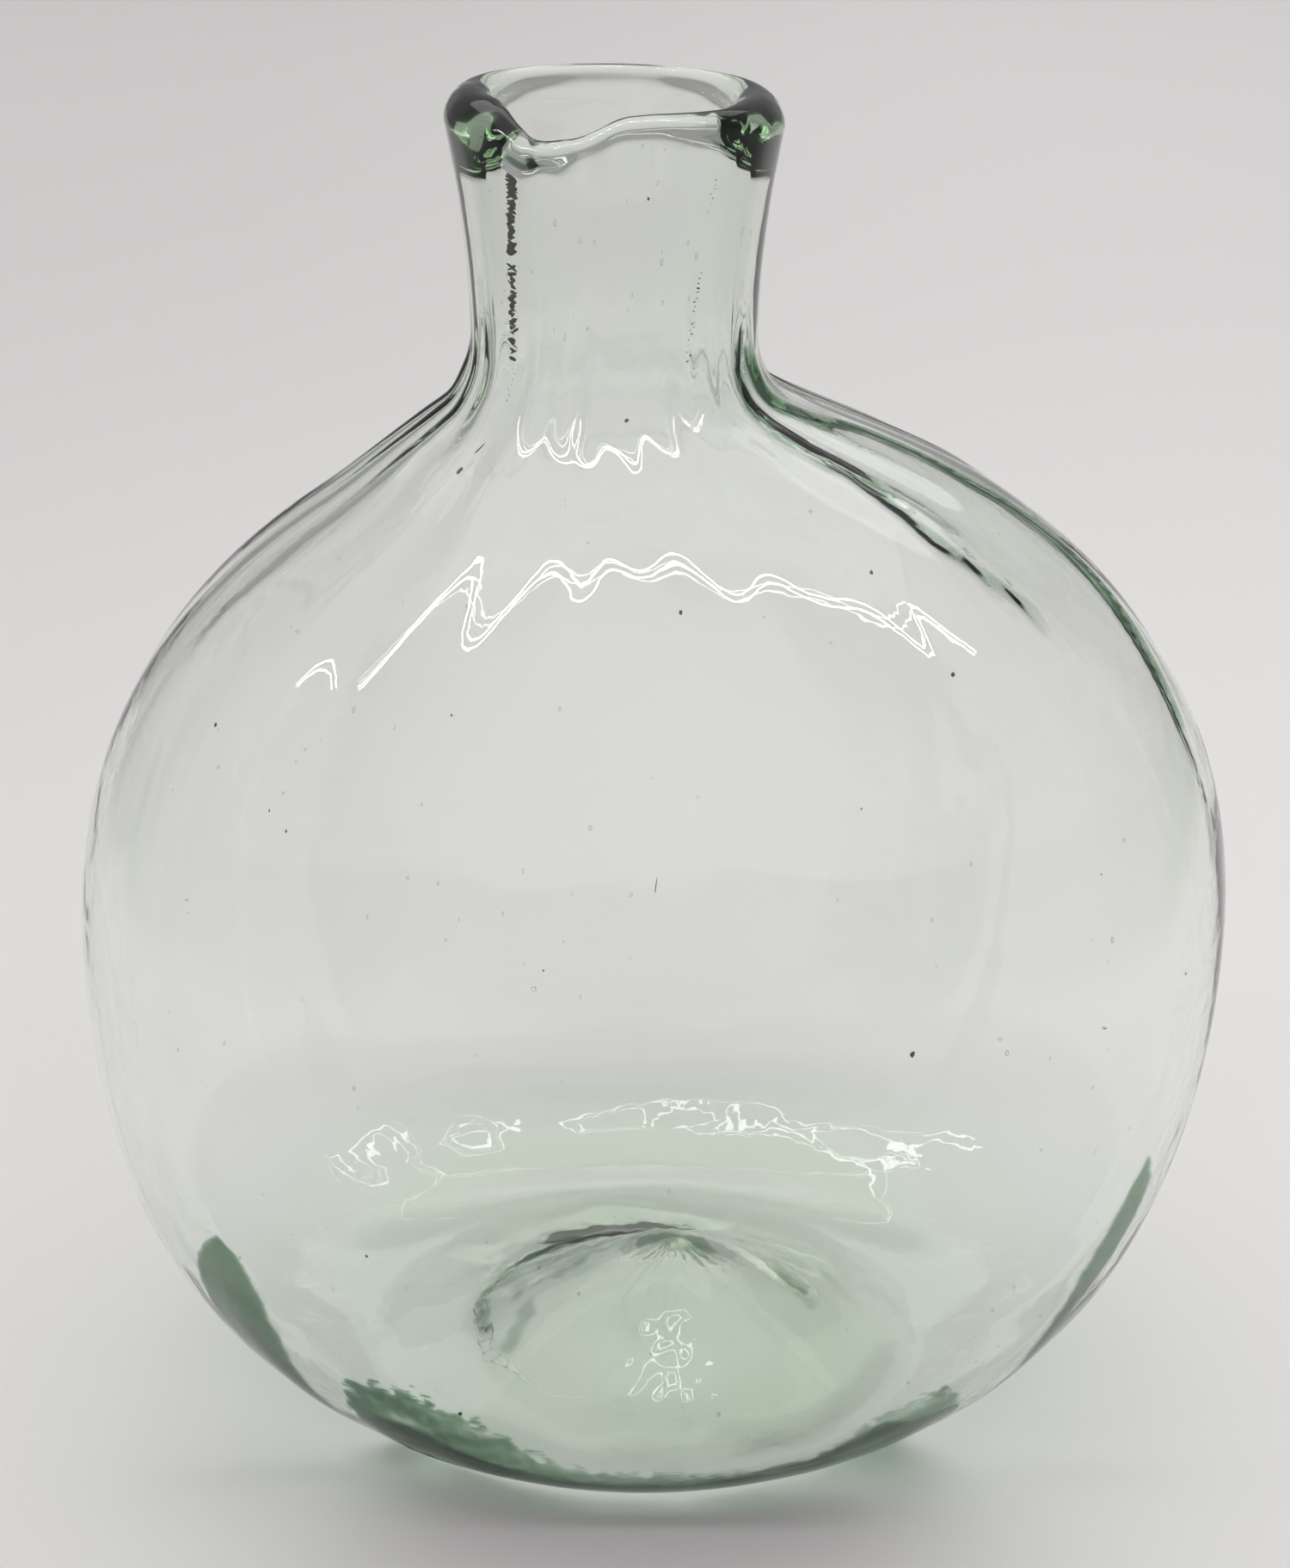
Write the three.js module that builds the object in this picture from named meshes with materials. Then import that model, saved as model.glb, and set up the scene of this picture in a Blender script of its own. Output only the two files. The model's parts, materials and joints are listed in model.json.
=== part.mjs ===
// Pocket bottle: a flattened, free-blown flask of pale green glass with an open mouth.
// Units are millimetres. The foot ring stands on z = 0, +Z is up, and the broad front faces -Y.
// The flask was blown as one bubble, so its lip, neck, shoulders, body and pushed-up base are one wall
// of glass. The scar under the base is a second gather: the glass of the rod that held the hot bottle.
import * as THREE from 'three';

// Heights of the outline, from the ground up
const bellyHeight = 44;
const rootHeight = 94.6;
const neckLength = 25.4;

// Outside sizes across the outline
const bodyWidth = 104;
const bodyDepth = 71.2;
const footWidth = 54.8;
const footDepth = 48.8;
const rootDiameter = 29.2;
const neckDiameter = 24;
const lipDiameter = 27.8;

// Walls and hollows
const footRingWidth = 3;
const bodyWall = 1.5;
const heelWall = 3.4;
const rootWall = 2.4;
const boreDiameter = 19.4;
const kickHeight = 8.6;
const kickWall = 3;

// How far the free-blown form strays from a true one
const neckShift = -3.2;
const shiftBelowRoot = 8.8;
const shiftAboveRoot = 2.2;
const lipTilt = 0.5;
const lipDip = 1.6;
const lipDipAngle = THREE.MathUtils.degToRad(240);
const lipDipSpread = THREE.MathUtils.degToRad(34);

// The broken ring of rod glass under the base
const scarDiameter = 25;
const scarShift = -1;
const scarWidth = 2.4;
const scarThickness = 0.7;
const scarWidthSwing = 0.25;
const scarThicknessSwing = 0.3;
const scarArc = THREE.MathUtils.degToRad(290);
const scarStart = THREE.MathUtils.degToRad(-60);
const seatGap = 0.3;

// How round the curves are, as shares of the stretch that each one spans
const heelReach = 0.64;
const heelRise = 0.08;
const heelFullness = 0.57;
const shoulderFullness = 0.68;
const shoulderReach = 0.27;
const shoulderDrop = 0.128;
const waistRise = 0.22;
const rootCornerRise = 0.33;
const neckBendRise = 0.45;
const kickPointedness = 0.15;

// Mesh fineness
const segments = 64;
const kickRings = 7;
const heelRings = 9;
const shoulderRings = 11;
const rootRings = 3;
const neckRings = 4;
const lipRings = 6;
const scarSteps = 40;

const bottleHeight = rootHeight + neckLength;
const lipWall = (lipDiameter - boreDiameter) / 2;
const lipRound = lipWall / 2;

// A station of the outline is one ring: half its width, half its depth, and its height.
function station(halfWidth, halfDepth, height) {
  return new THREE.Vector3(halfWidth, halfDepth, height);
}

function blend(from, to, share) {
  return from.clone().lerp(to, share);
}

// A value that eases from 0 to 1 while its place goes from start to end.
function easeBetween(place, start, end) {
  return THREE.MathUtils.smoothstep(place, start, end);
}

const foot = station(footWidth / 2, footDepth / 2, 0);
const belly = station(bodyWidth / 2, bodyDepth / 2, bellyHeight);
const root = station(rootDiameter / 2, rootDiameter / 2, rootHeight);
const waistHeight = rootHeight + neckLength * waistRise;
const waist = station(neckDiameter / 2, neckDiameter / 2, waistHeight);
const lipShoulder = station(lipDiameter / 2, lipDiameter / 2, bottleHeight - lipRound);

// From the foot ring round the full heel to the widest level.
function heelCurve() {
  const low = blend(foot, belly, heelReach);
  low.z = bellyHeight * heelRise;
  const high = belly.clone();
  high.z = bellyHeight * (1 - heelFullness);
  return new THREE.CubicBezierCurve3(foot, low, high, belly);
}

// From the widest level over the sloping shoulder to the root of the neck.
function shoulderCurve() {
  const low = belly.clone();
  low.z = THREE.MathUtils.lerp(bellyHeight, rootHeight, shoulderFullness);
  const high = blend(root, belly, shoulderReach);
  high.z = THREE.MathUtils.lerp(rootHeight, bellyHeight, shoulderDrop);
  return new THREE.CubicBezierCurve3(belly, low, high, root);
}

// The tight turn from the shoulder's slope into the upright neck.
function rootCurve() {
  const corner = waist.clone();
  corner.z = THREE.MathUtils.lerp(rootHeight, waistHeight, rootCornerRise);
  return new THREE.QuadraticBezierCurve3(root, corner, waist);
}

// The neck widens slowly from its waist to the lip.
function neckCurve() {
  const middle = waist.clone();
  middle.z = THREE.MathUtils.lerp(waistHeight, lipShoulder.z, neckBendRise);
  return new THREE.QuadraticBezierCurve3(waist, middle, lipShoulder);
}

// The outer wall as a list of stations, each with the thickness of the glass behind it.
function outerWall() {
  const wall = [];
  const addStretch = (curve, rings, thicknessAt) => {
    for (let ring = 0; ring < rings; ring += 1) {
      const share = ring / rings;
      const point = curve.getPoint(share);
      const slope = curve.getTangent(share);
      wall.push({ point, slope, thickness: thicknessAt(share, point) });
    }
  };
  const boreWall = (share, point) => point.x - boreDiameter / 2;
  const heelThickness = (share) => THREE.MathUtils.lerp(heelWall, bodyWall, easeBetween(share, 0, 1));
  const shoulderThickness = (share) => THREE.MathUtils.lerp(bodyWall, rootWall, share * share);
  const rootThickness = (share, point) => THREE.MathUtils.lerp(rootWall, boreWall(share, point), share);
  addStretch(heelCurve(), heelRings, heelThickness);
  addStretch(shoulderCurve(), shoulderRings, shoulderThickness);
  addStretch(rootCurve(), rootRings, rootThickness);
  addStretch(neckCurve(), neckRings, boreWall);
  return wall;
}

// The inside of a wall station, one thickness in along the wall's own normal.
function innerStation({ point, slope, thickness }) {
  const front = new THREE.Vector2(slope.z, -slope.x).normalize();
  const side = new THREE.Vector2(slope.z, -slope.y).normalize();
  const rise = (front.y + side.y) / 2;
  return station(
    point.x - thickness * front.x,
    point.y - thickness * side.x,
    point.z - thickness * rise,
  );
}

// The rounded top of the lip, a half circle from the outer wall over to the bore.
function lipStations() {
  const stations = [];
  const middle = lipDiameter / 2 - lipRound;
  for (let ring = 0; ring <= lipRings; ring += 1) {
    const turn = (Math.PI * ring) / lipRings;
    const radius = middle + lipRound * Math.cos(turn);
    stations.push(station(radius, radius, lipShoulder.z + lipRound * Math.sin(turn)));
  }
  return stations;
}

// The base is pushed up in the middle like a soft tent; share is 0 at its tip and 1 at its rim.
function kickRise(share) {
  const hollow = Math.min(share, 1);
  const tent = 1 - hollow;
  const dome = (1 + Math.cos(Math.PI * hollow)) / 2;
  return THREE.MathUtils.lerp(dome, tent * tent, kickPointedness);
}

const kickRim = station(foot.x - footRingWidth, foot.y - footRingWidth, 0);

// The underside of the base, from just outside its tip to the flat foot ring.
function kickStations() {
  const stations = [];
  for (let ring = 1; ring <= kickRings; ring += 1) {
    const share = ring / kickRings;
    stations.push(station(kickRim.x * share, kickRim.y * share, kickHeight * kickRise(share)));
  }
  return stations;
}

// The floor inside, from the inner heel to just outside the tip.
function floorStations(edge) {
  const stations = [];
  const tipHeight = kickHeight + kickWall;
  for (let ring = kickRings - 1; ring >= 1; ring -= 1) {
    const share = ring / kickRings;
    const height = THREE.MathUtils.lerp(edge.z, tipHeight, kickRise(share));
    stations.push(station(edge.x * share, edge.y * share, height));
  }
  return stations;
}

// The neck stands a little to one side of the body's middle.
function centreAt(height) {
  return neckShift * easeBetween(height, rootHeight - shiftBelowRoot, rootHeight + shiftAboveRoot);
}

// The lip was left uneven: it is higher on one side and dips at the front.
function lipRise(angle, height) {
  const amount = easeBetween(height, waistHeight, lipShoulder.z);
  const away = Math.acos(Math.cos(angle - lipDipAngle)) / lipDipSpread;
  const dip = lipDip * Math.exp(-away * away);
  return amount * (-lipTilt * Math.cos(angle) - dip);
}

// A closed skin from the tip under the base, up the outside, over the lip and down to the floor's tip.
function bottleGlass() {
  const wall = outerWall();
  const inside = wall.map(innerStation).reverse();
  const rings = [
    ...kickStations(),
    ...wall.map((place) => place.point),
    ...lipStations(),
    ...inside,
    ...floorStations(inside[inside.length - 1]),
  ];
  const positions = [0, 0, kickHeight];
  for (const ring of rings) {
    for (let segment = 0; segment < segments; segment += 1) {
      const angle = (2 * Math.PI * segment) / segments;
      positions.push(
        centreAt(ring.z) + ring.x * Math.cos(angle),
        ring.y * Math.sin(angle),
        ring.z + lipRise(angle, ring.z),
      );
    }
  }
  positions.push(0, 0, kickHeight + kickWall);
  const lastPoint = positions.length / 3 - 1;
  const faces = [];
  const pointAt = (ring, segment) => 1 + ring * segments + (segment % segments);
  for (let segment = 0; segment < segments; segment += 1) {
    faces.push(0, pointAt(0, segment + 1), pointAt(0, segment));
    for (let ring = 0; ring < rings.length - 1; ring += 1) {
      const a = pointAt(ring, segment);
      const b = pointAt(ring, segment + 1);
      const c = pointAt(ring + 1, segment + 1);
      const d = pointAt(ring + 1, segment);
      faces.push(a, b, c, a, c, d);
    }
    faces.push(pointAt(rings.length - 1, segment), pointAt(rings.length - 1, segment + 1), lastPoint);
  }
  const geometry = new THREE.BufferGeometry();
  geometry.setAttribute('position', new THREE.Float32BufferAttribute(positions, 3));
  geometry.setIndex(faces);
  geometry.computeVertexNormals();
  return geometry;
}

// Height of the base's underside over a point of the ground.
function undersideAt(x, y) {
  return kickHeight * kickRise(Math.hypot(x / kickRim.x, y / kickRim.y));
}

// The scar is a jagged, unclosed ring that hugs the hollow underside one seat gap below it.
function scarGlass() {
  const positions = [];
  const faces = [];
  for (let step = 0; step <= scarSteps; step += 1) {
    const angle = scarStart + (scarArc * step) / scarSteps;
    const jag = Math.sin(5 * angle) * Math.cos(11 * angle);
    const half = (scarWidth / 2) * (1 + scarWidthSwing * jag);
    const thickness = scarThickness * (1 + scarThicknessSwing * Math.sin(8 * angle));
    const middle = scarDiameter / 2;
    const corners = [
      [middle - half, 0],
      [middle + half, 0],
      [middle + half / 2, thickness],
      [middle - half / 2, thickness],
    ];
    for (const [radius, depth] of corners) {
      const x = scarShift + radius * Math.cos(angle);
      const y = radius * Math.sin(angle);
      positions.push(x, y, undersideAt(x, y) - seatGap - depth);
    }
  }
  for (let step = 0; step < scarSteps; step += 1) {
    for (let corner = 0; corner < 4; corner += 1) {
      const a = step * 4 + corner;
      const b = step * 4 + ((corner + 1) % 4);
      faces.push(a, b, b + 4, a, b + 4, a + 4);
    }
  }
  const end = scarSteps * 4;
  faces.push(0, 3, 2, 0, 2, 1);
  faces.push(end, end + 1, end + 2, end, end + 2, end + 3);
  const geometry = new THREE.BufferGeometry();
  geometry.setAttribute('position', new THREE.Float32BufferAttribute(positions, 3));
  geometry.setIndex(faces);
  geometry.computeVertexNormals();
  return geometry;
}

function namedMesh(name, geometry, colour, roughness) {
  const material = new THREE.MeshStandardMaterial({ color: colour, roughness, metalness: 0 });
  const mesh = new THREE.Mesh(geometry, material);
  mesh.name = name;
  return mesh;
}

const bottle = new THREE.Group();
bottle.add(namedMesh('bottle_glass', bottleGlass(), 0xc4cfc0, 0.05));
bottle.add(namedMesh('pontil_scar', scarGlass(), 0x9cb89a, 0.35));

export default bottle;
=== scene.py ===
# %% [markdown]
# A free-blown pocket bottle.
# The bottle is one bubble of pale green glass. It was blown without a mould, flattened while it was
# soft, and finished at the lip while a rod held it by its pushed-up base.
# This lesson dresses the engineering model of it. First comes that model, which fixes the size and place.

# %% Load the frame
import json
import math

import bmesh
import bpy
import numpy as np
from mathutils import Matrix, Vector

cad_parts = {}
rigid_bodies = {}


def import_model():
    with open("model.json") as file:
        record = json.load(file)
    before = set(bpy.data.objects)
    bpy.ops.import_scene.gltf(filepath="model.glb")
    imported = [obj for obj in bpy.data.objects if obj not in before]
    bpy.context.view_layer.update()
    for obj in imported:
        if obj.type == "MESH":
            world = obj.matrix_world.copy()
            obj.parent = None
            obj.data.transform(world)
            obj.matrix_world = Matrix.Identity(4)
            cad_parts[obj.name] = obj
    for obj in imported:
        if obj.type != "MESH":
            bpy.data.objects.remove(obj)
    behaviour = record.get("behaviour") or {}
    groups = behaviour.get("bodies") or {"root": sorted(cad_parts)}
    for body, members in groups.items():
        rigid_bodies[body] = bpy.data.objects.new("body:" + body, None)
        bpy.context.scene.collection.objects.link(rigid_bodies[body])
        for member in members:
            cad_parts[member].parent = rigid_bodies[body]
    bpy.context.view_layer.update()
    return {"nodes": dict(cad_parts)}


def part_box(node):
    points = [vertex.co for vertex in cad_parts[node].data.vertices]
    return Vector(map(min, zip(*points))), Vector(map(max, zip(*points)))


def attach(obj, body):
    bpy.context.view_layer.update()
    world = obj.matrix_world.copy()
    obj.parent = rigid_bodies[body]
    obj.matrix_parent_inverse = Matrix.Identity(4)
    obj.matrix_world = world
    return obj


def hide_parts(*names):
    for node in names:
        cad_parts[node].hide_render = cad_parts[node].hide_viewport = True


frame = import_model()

MM = 0.001
scene = bpy.context.scene
print("nodes of the frame:", sorted(frame["nodes"]))

# %% [markdown]
# The camera stands where the photographer's did: close to the bottle, a little above it and looking
# down. A near camera makes the base look rounder than the mouth, so its distance matters as much as its
# height. The focal length is kept in pixels of the photograph and turned into the lens of a 36 mm sensor.

# %% Camera
PHOTO_HEIGHT_PX = 1823
SENSOR_MM = 36.0
FOCAL_PX = 3248.0
EYE_MM = Vector((-0.57, -229.06, 160.39))
AIM_MM = Vector((-0.57, 0.0, 59.01))


def place_camera():
    """Adds the camera that looks from EYE_MM to AIM_MM."""
    data = bpy.data.cameras.new("photo_camera")
    data.sensor_width = SENSOR_MM
    data.lens = FOCAL_PX * SENSOR_MM / PHOTO_HEIGHT_PX
    data.clip_start = 0.01
    camera = bpy.data.objects.new("photo_camera", data)
    camera.location = EYE_MM * MM
    camera.rotation_euler = (AIM_MM - EYE_MM).to_track_quat("-Z", "Y").to_euler()
    scene.collection.objects.link(camera)
    scene.camera = camera
    print("lens: %.1f mm" % data.lens)


place_camera()

# %% [markdown]
# The outline of the bottle is a few smooth curves, each between two levels that can be measured: foot,
# belly, root of the neck, waist and lip. The same curves make the engineering model. Here they are
# sampled finely, because clear glass shows every flat facet as a kink in what is seen through it.

# %% Sizes of the bottle, in millimetres
glass_low, glass_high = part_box("bottle_glass")
BODY_HALF_WIDTH = 52.0
BODY_HALF_DEPTH = (glass_high[1] - glass_low[1]) / 2 / MM
BELLY_HEIGHT = 44.0
ROOT_HEIGHT = 94.6
WAIST_HEIGHT = 100.2
LIP_HEIGHT = 120.0
FOOT_HALF_WIDTH = 27.4
FOOT_HALF_DEPTH = 24.4
ROOT_RADIUS = 14.6
WAIST_RADIUS = 12.0
LIP_RADIUS = 13.9
BORE_RADIUS = 9.7
NECK_SHIFT = -3.2
print("body: %.1f mm wide, %.1f mm deep" % (2 * BODY_HALF_WIDTH, 2 * BODY_HALF_DEPTH))

# %% Helpers for curves
def between(start, end, share):
    """The value at a share of the way from start to end."""
    return start + (end - start) * share


def ease(value, start, end):
    """Goes from 0 to 1 without a kink while value goes from start to end."""
    share = np.clip((value - start) / (end - start), 0, 1)
    return share * share * (3 - 2 * share)


def within(value, low, high, soft):
    """1 between low and high, and softly 0 beyond them."""
    return ease(value, low - soft, low + soft) * (1 - ease(value, high - soft, high + soft))


def bell(distance, width, power=2):
    """1 where the distance is 0, and softly 0 beyond the width. A power of 4 has a flatter top."""
    return np.exp(-((distance / width) ** power))


def at_height(point, height):
    """The same half width and half depth at another height."""
    return np.array([point[0], point[1], height])


def bezier(points, count, closed=False, crowding=1.0):
    """Samples a Bezier curve of three or four points, without its last point unless closed."""
    share = 1 - (1 - np.linspace(0, 1, count, endpoint=closed)[:, None]) ** crowding
    rest = 1 - share
    if len(points) == 3:
        weights = (rest**2, 2 * rest * share, share**2)
    else:
        weights = (rest**3, 3 * rest**2 * share, 3 * rest * share**2, share**3)
    return sum(weight * point for weight, point in zip(weights, points))


print("an ease is at %.2f after a quarter of its way" % ease(2.5, 0, 10))

# %% Curves of the outline
FOOT = np.array([FOOT_HALF_WIDTH, FOOT_HALF_DEPTH, 0.0])
BELLY = np.array([BODY_HALF_WIDTH, BODY_HALF_DEPTH, BELLY_HEIGHT])
ROOT = np.array([ROOT_RADIUS, ROOT_RADIUS, ROOT_HEIGHT])
WAIST = np.array([WAIST_RADIUS, WAIST_RADIUS, WAIST_HEIGHT])
LIP_ROUND = (LIP_RADIUS - BORE_RADIUS) / 2
LIP_EDGE = np.array([LIP_RADIUS, LIP_RADIUS, LIP_HEIGHT - LIP_ROUND])

# Where the handles of the curves stand, as shares of the way between two levels.
HEEL_REACH = np.array([0.616, 0.68, 0.0])
HEEL_RISE, HEEL_FULLNESS = 0.08, 0.43
SHOULDER_FULLNESS, SHOULDER_REACH, SHOULDER_DROP = 0.68, 0.27, 0.128
ROOT_TURN, NECK_BEND = 0.33, 0.45
HEEL_RINGS, SHOULDER_RINGS, ROOT_RINGS, NECK_RINGS = 36, 44, 10, 22
CROWDING_AT_LIP = 1.8

heel_turn = at_height(between(FOOT, BELLY, HEEL_REACH), BELLY_HEIGHT * HEEL_RISE)
heel_side = at_height(BELLY, BELLY_HEIGHT * HEEL_FULLNESS)
shoulder_side = at_height(BELLY, between(BELLY_HEIGHT, ROOT_HEIGHT, SHOULDER_FULLNESS))
shoulder_top = between(ROOT_HEIGHT, BELLY_HEIGHT, SHOULDER_DROP)
shoulder_turn = at_height(between(ROOT, BELLY, SHOULDER_REACH), shoulder_top)
root_corner = at_height(WAIST, between(ROOT_HEIGHT, WAIST_HEIGHT, ROOT_TURN))
neck_bend = at_height(WAIST, between(WAIST_HEIGHT, LIP_EDGE[2], NECK_BEND))
heel = bezier((FOOT, heel_turn, heel_side, BELLY), HEEL_RINGS)
shoulder = bezier((BELLY, shoulder_side, shoulder_turn, ROOT), SHOULDER_RINGS)
root = bezier((ROOT, root_corner, WAIST), ROOT_RINGS)
neck = bezier((WAIST, neck_bend, LIP_EDGE), NECK_RINGS, closed=True, crowding=CROWDING_AT_LIP)
outline = np.vstack([heel, shoulder, root, neck])
print("outline: %d levels, %.1f mm tall" % (len(outline), outline[-1, 2]))

# %% [markdown]
# Seen from the side, the front runs up into the neck by another curve than the broad sides do: it
# leans back, turns over at one level, and bends up into the neck without a corner. A half depth at each
# level is enough to hold that, so it is read off a second pair of Bezier curves.

# %% Depth of the shoulder
TURN_OVER = np.array([18.6, 91.0])
LEAN_BACK = np.array([-1.45, 1.0])
NECK_START = np.array([WAIST_RADIUS, 103.0])
SIDE_FULLNESS = 0.62
HANDLE_BELOW, HANDLE_ABOVE, NECK_HANDLE = 6.0, 3.5, 5.0


def shoulder_depth(heights):
    """Half depth of the shoulder and the root of the neck at these heights."""
    belly = np.array([BODY_HALF_DEPTH, BELLY_HEIGHT])
    side = np.array([BODY_HALF_DEPTH, between(BELLY_HEIGHT, TURN_OVER[1], SIDE_FULLNESS)])
    low = bezier((belly, side, TURN_OVER - HANDLE_BELOW * LEAN_BACK, TURN_OVER), 80)
    bend = NECK_START - np.array([0, NECK_HANDLE])
    high = bezier((TURN_OVER, TURN_OVER + HANDLE_ABOVE * LEAN_BACK, bend, NECK_START), 60, closed=True)
    curve = np.vstack([low, high])
    return np.interp(heights, curve[:, 1], curve[:, 0])


in_shoulder = (outline[:, 2] > BELLY_HEIGHT) & (outline[:, 2] < NECK_START[1])
outline[in_shoulder, 1] = shoulder_depth(outline[in_shoulder, 2])
print("half depth where the shoulder turns over: %.1f mm" % shoulder_depth(TURN_OVER[1]))

# %% [markdown]
# Blown glass is never quite true. The skin ripples where the tools and the breath moved it. A noise
# texture could move the skin too, but a ripple field is easier to steer: it is the sum of a few dozen
# plane waves in random directions with one wavelength, smooth, the same in every direction, and the
# same each run because its seed is fixed.

# %% Ripples
PLEAT_CIRCLE, PLEAT_TWIST, PLEAT_WAVELENGTH = 30.0, 0.15, 6.0
SKIN_PLEAT, LONG_SWELL, FINE_RIPPLE = 0.16, 0.15, 0.003
LONG_WAVE, FINE_WAVE = 60, 6


def ripple(points, wavelength, seed, waves=24):
    """A smooth random field at the points, about -1 to 1, with that wavelength in millimetres."""
    rng = np.random.default_rng(seed)
    directions = rng.normal(size=(waves, 3))
    directions /= np.linalg.norm(directions, axis=1)[:, None]
    phases = rng.uniform(0, 2 * math.pi, waves)
    turns = points @ (directions.T * (2 * math.pi / wavelength)) + phases
    return np.sin(turns).sum(axis=-1) / math.sqrt(waves)


def pleats(angle_rad, height, seed):
    """Soft folds that run down from the neck like the ribs of a leaf, about -1 to 1."""
    x = np.broadcast_to(PLEAT_CIRCLE * np.cos(angle_rad), height.shape)
    y = np.broadcast_to(PLEAT_CIRCLE * np.sin(angle_rad), height.shape)
    return ripple(np.stack([x, y, PLEAT_TWIST * height], axis=-1), PLEAT_WAVELENGTH, seed)


def skin_error(points, angle_rad):
    """How far the skin strays from its smooth outline, in millimetres."""
    height = points[..., 2]
    strength = between(0.35, 1.0, ease(height, 50, 76)) * between(1.0, 0.12, ease(height, 96, 104))
    folds = SKIN_PLEAT * strength * pleats(angle_rad, height, seed=54)
    swell = LONG_SWELL * ripple(points, LONG_WAVE, seed=11)
    return folds + swell + FINE_RIPPLE * ripple(points, FINE_WAVE, seed=12)


print("a ripple of 6 mm at one point: %.2f" % ripple(FOOT, FINE_WAVE, seed=12))

# %% [markdown]
# The skins are grids: rings of points round the bottle, one ring to each level of the outline. The
# points stand closer together where the folds run down the shoulder, so that these stay sharp.

# %% Grids of points
AROUND = 344
FINE_PLACES = (
    # angle in degrees, spread in degrees, extra density of points
    (336, 17, 1.3), (208, 16, 0.6), (270, 60, 0.35),
)
SHOULDER_LEAN, SHOULDER_LEAN_HEIGHT, SHOULDER_LEAN_SPREAD = 0.6, 84, 22
FOOT_LEAN, FOOT_LEAN_TOP = -0.73, 50
NECK_SHIFT_FROM, NECK_SHIFT_TO = ROOT_HEIGHT - 8.8, ROOT_HEIGHT + 2.2


def turned(angle_deg, middle):
    """Signed angle from the middle, between -180 and 180 degrees."""
    return (angle_deg - middle + 180) % 360 - 180


def uneven_angles():
    """Angles round the bottle, closer together where folds run down the shoulder."""
    fine = np.linspace(0, 360, 3601)
    density = 0.75 + sum(extra * bell(turned(fine, middle), spread)
                         for middle, spread, extra in FINE_PLACES)
    steps = (density[1:] + density[:-1]) / 2
    turn = np.concatenate([[0], np.cumsum(steps)])
    share = np.linspace(0, turn[-1], AROUND, endpoint=False)
    return np.radians(np.interp(share, turn, fine))


angles = uneven_angles()
degrees = np.degrees(angles)
cosines, sines = np.cos(angles), np.sin(angles)


def centre_at(height):
    """The body leans a little to the right and the neck stands to the left of its middle."""
    shoulder_lean = SHOULDER_LEAN * bell(height - SHOULDER_LEAN_HEIGHT, SHOULDER_LEAN_SPREAD)
    foot_lean = FOOT_LEAN * (1 - ease(height, 0, FOOT_LEAN_TOP))
    return between(shoulder_lean + foot_lean, NECK_SHIFT, ease(height, NECK_SHIFT_FROM, NECK_SHIFT_TO))


def ring_grid(levels):
    """Points round each level, as an array of levels by angles by 3."""
    middle = centre_at(levels[:, 2])
    x = middle[:, None] + levels[:, :1] * cosines
    y = levels[:, 1:2] * sines
    z = np.repeat(levels[:, 2:3], AROUND, axis=1)
    return np.stack([x, y, z], axis=-1)


def grid_normals(grid):
    """Unit normals of a grid of rings, pointing away from the axis when the rings go upwards."""
    along = np.roll(grid, -1, axis=1) - np.roll(grid, 1, axis=1)
    up = np.gradient(grid, axis=0)
    normals = np.cross(along, up)
    return normals / np.linalg.norm(normals, axis=-1, keepdims=True)


print("steps round the bottle: %.2f to %.2f degrees" % (np.diff(degrees).min(), np.diff(degrees).max()))

# %% [markdown]
# The lip was only softened in the fire, so its height wanders: it stands higher on the left, has a
# broken dip at the front left, and rises again to a smooth bead at the front right. It is rolled thick
# at both ends and thin between them. Two short lists of angles and values, joined by smooth curves,
# hold that, and each can be read off the bottle without any sculpting.

# %% Height and thickness of the lip round the mouth
LIP_LEVELS = (
    # angle in degrees and height above the even lip
    (0, -0.3), (60, -0.1), (120, 0.1), (180, 0.3), (212, 0.2), (226, -0.1), (240, -1.9),
    (252, -1.7), (264, -0.9), (273, 0.3), (285, 0.5), (300, 0.3), (330, -0.1),
)
LIP_WALL = (
    # angle in degrees and thickness of the rolled lip
    (0, 4.4), (30, 3.0), (52, 1.5), (75, 1.1), (105, 1.1), (128, 1.5), (152, 3.0), (180, 4.4), (212, 4.2),
    (228, 2.7), (246, 1.8), (266, 1.3), (290, 1.4), (314, 2.2), (332, 3.9),
)
LIFT_FROM = WAIST_HEIGHT + 4


def round_the_mouth(table):
    """A smooth closed curve through a table of (angle, value) pairs, at every angle of the grid."""
    places, values = np.array(table, float).T
    places = np.concatenate([places - 360, places, places + 360])
    values = np.tile(values, 3)
    samples = [np.interp(degrees + shift, places, values) for shift in np.linspace(-4, 4, 13)]
    return np.mean(samples, axis=0)


lip_wall = round_the_mouth(LIP_WALL)
lip_rise = round_the_mouth(LIP_LEVELS) + LIP_ROUND - lip_wall / 2
print("lip: %.1f to %.1f mm thick" % (lip_wall.min(), lip_wall.max()))


def lift_lip(grid):
    """Raises and lowers the upper neck with the lip."""
    lifted = grid.copy()
    amount = ease(grid[..., 2], LIFT_FROM, LIP_EDGE[2])
    lifted[..., 2] += amount * lip_rise[None, :]
    return lifted

# %% [markdown]
# Where the neck was drawn out, the soft wall of the shoulder gathered. On the right it folded: a flap of
# glass about 15 mm wide lies on the shoulder between two ridges. The other gathers are soft creases.
# Each is a line down the shoulder, held as angles at heights, and the skin rises or sinks by how far a
# point is from the line. That keeps the whole wall one grid, where a cut-in flap would leave seams.

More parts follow.
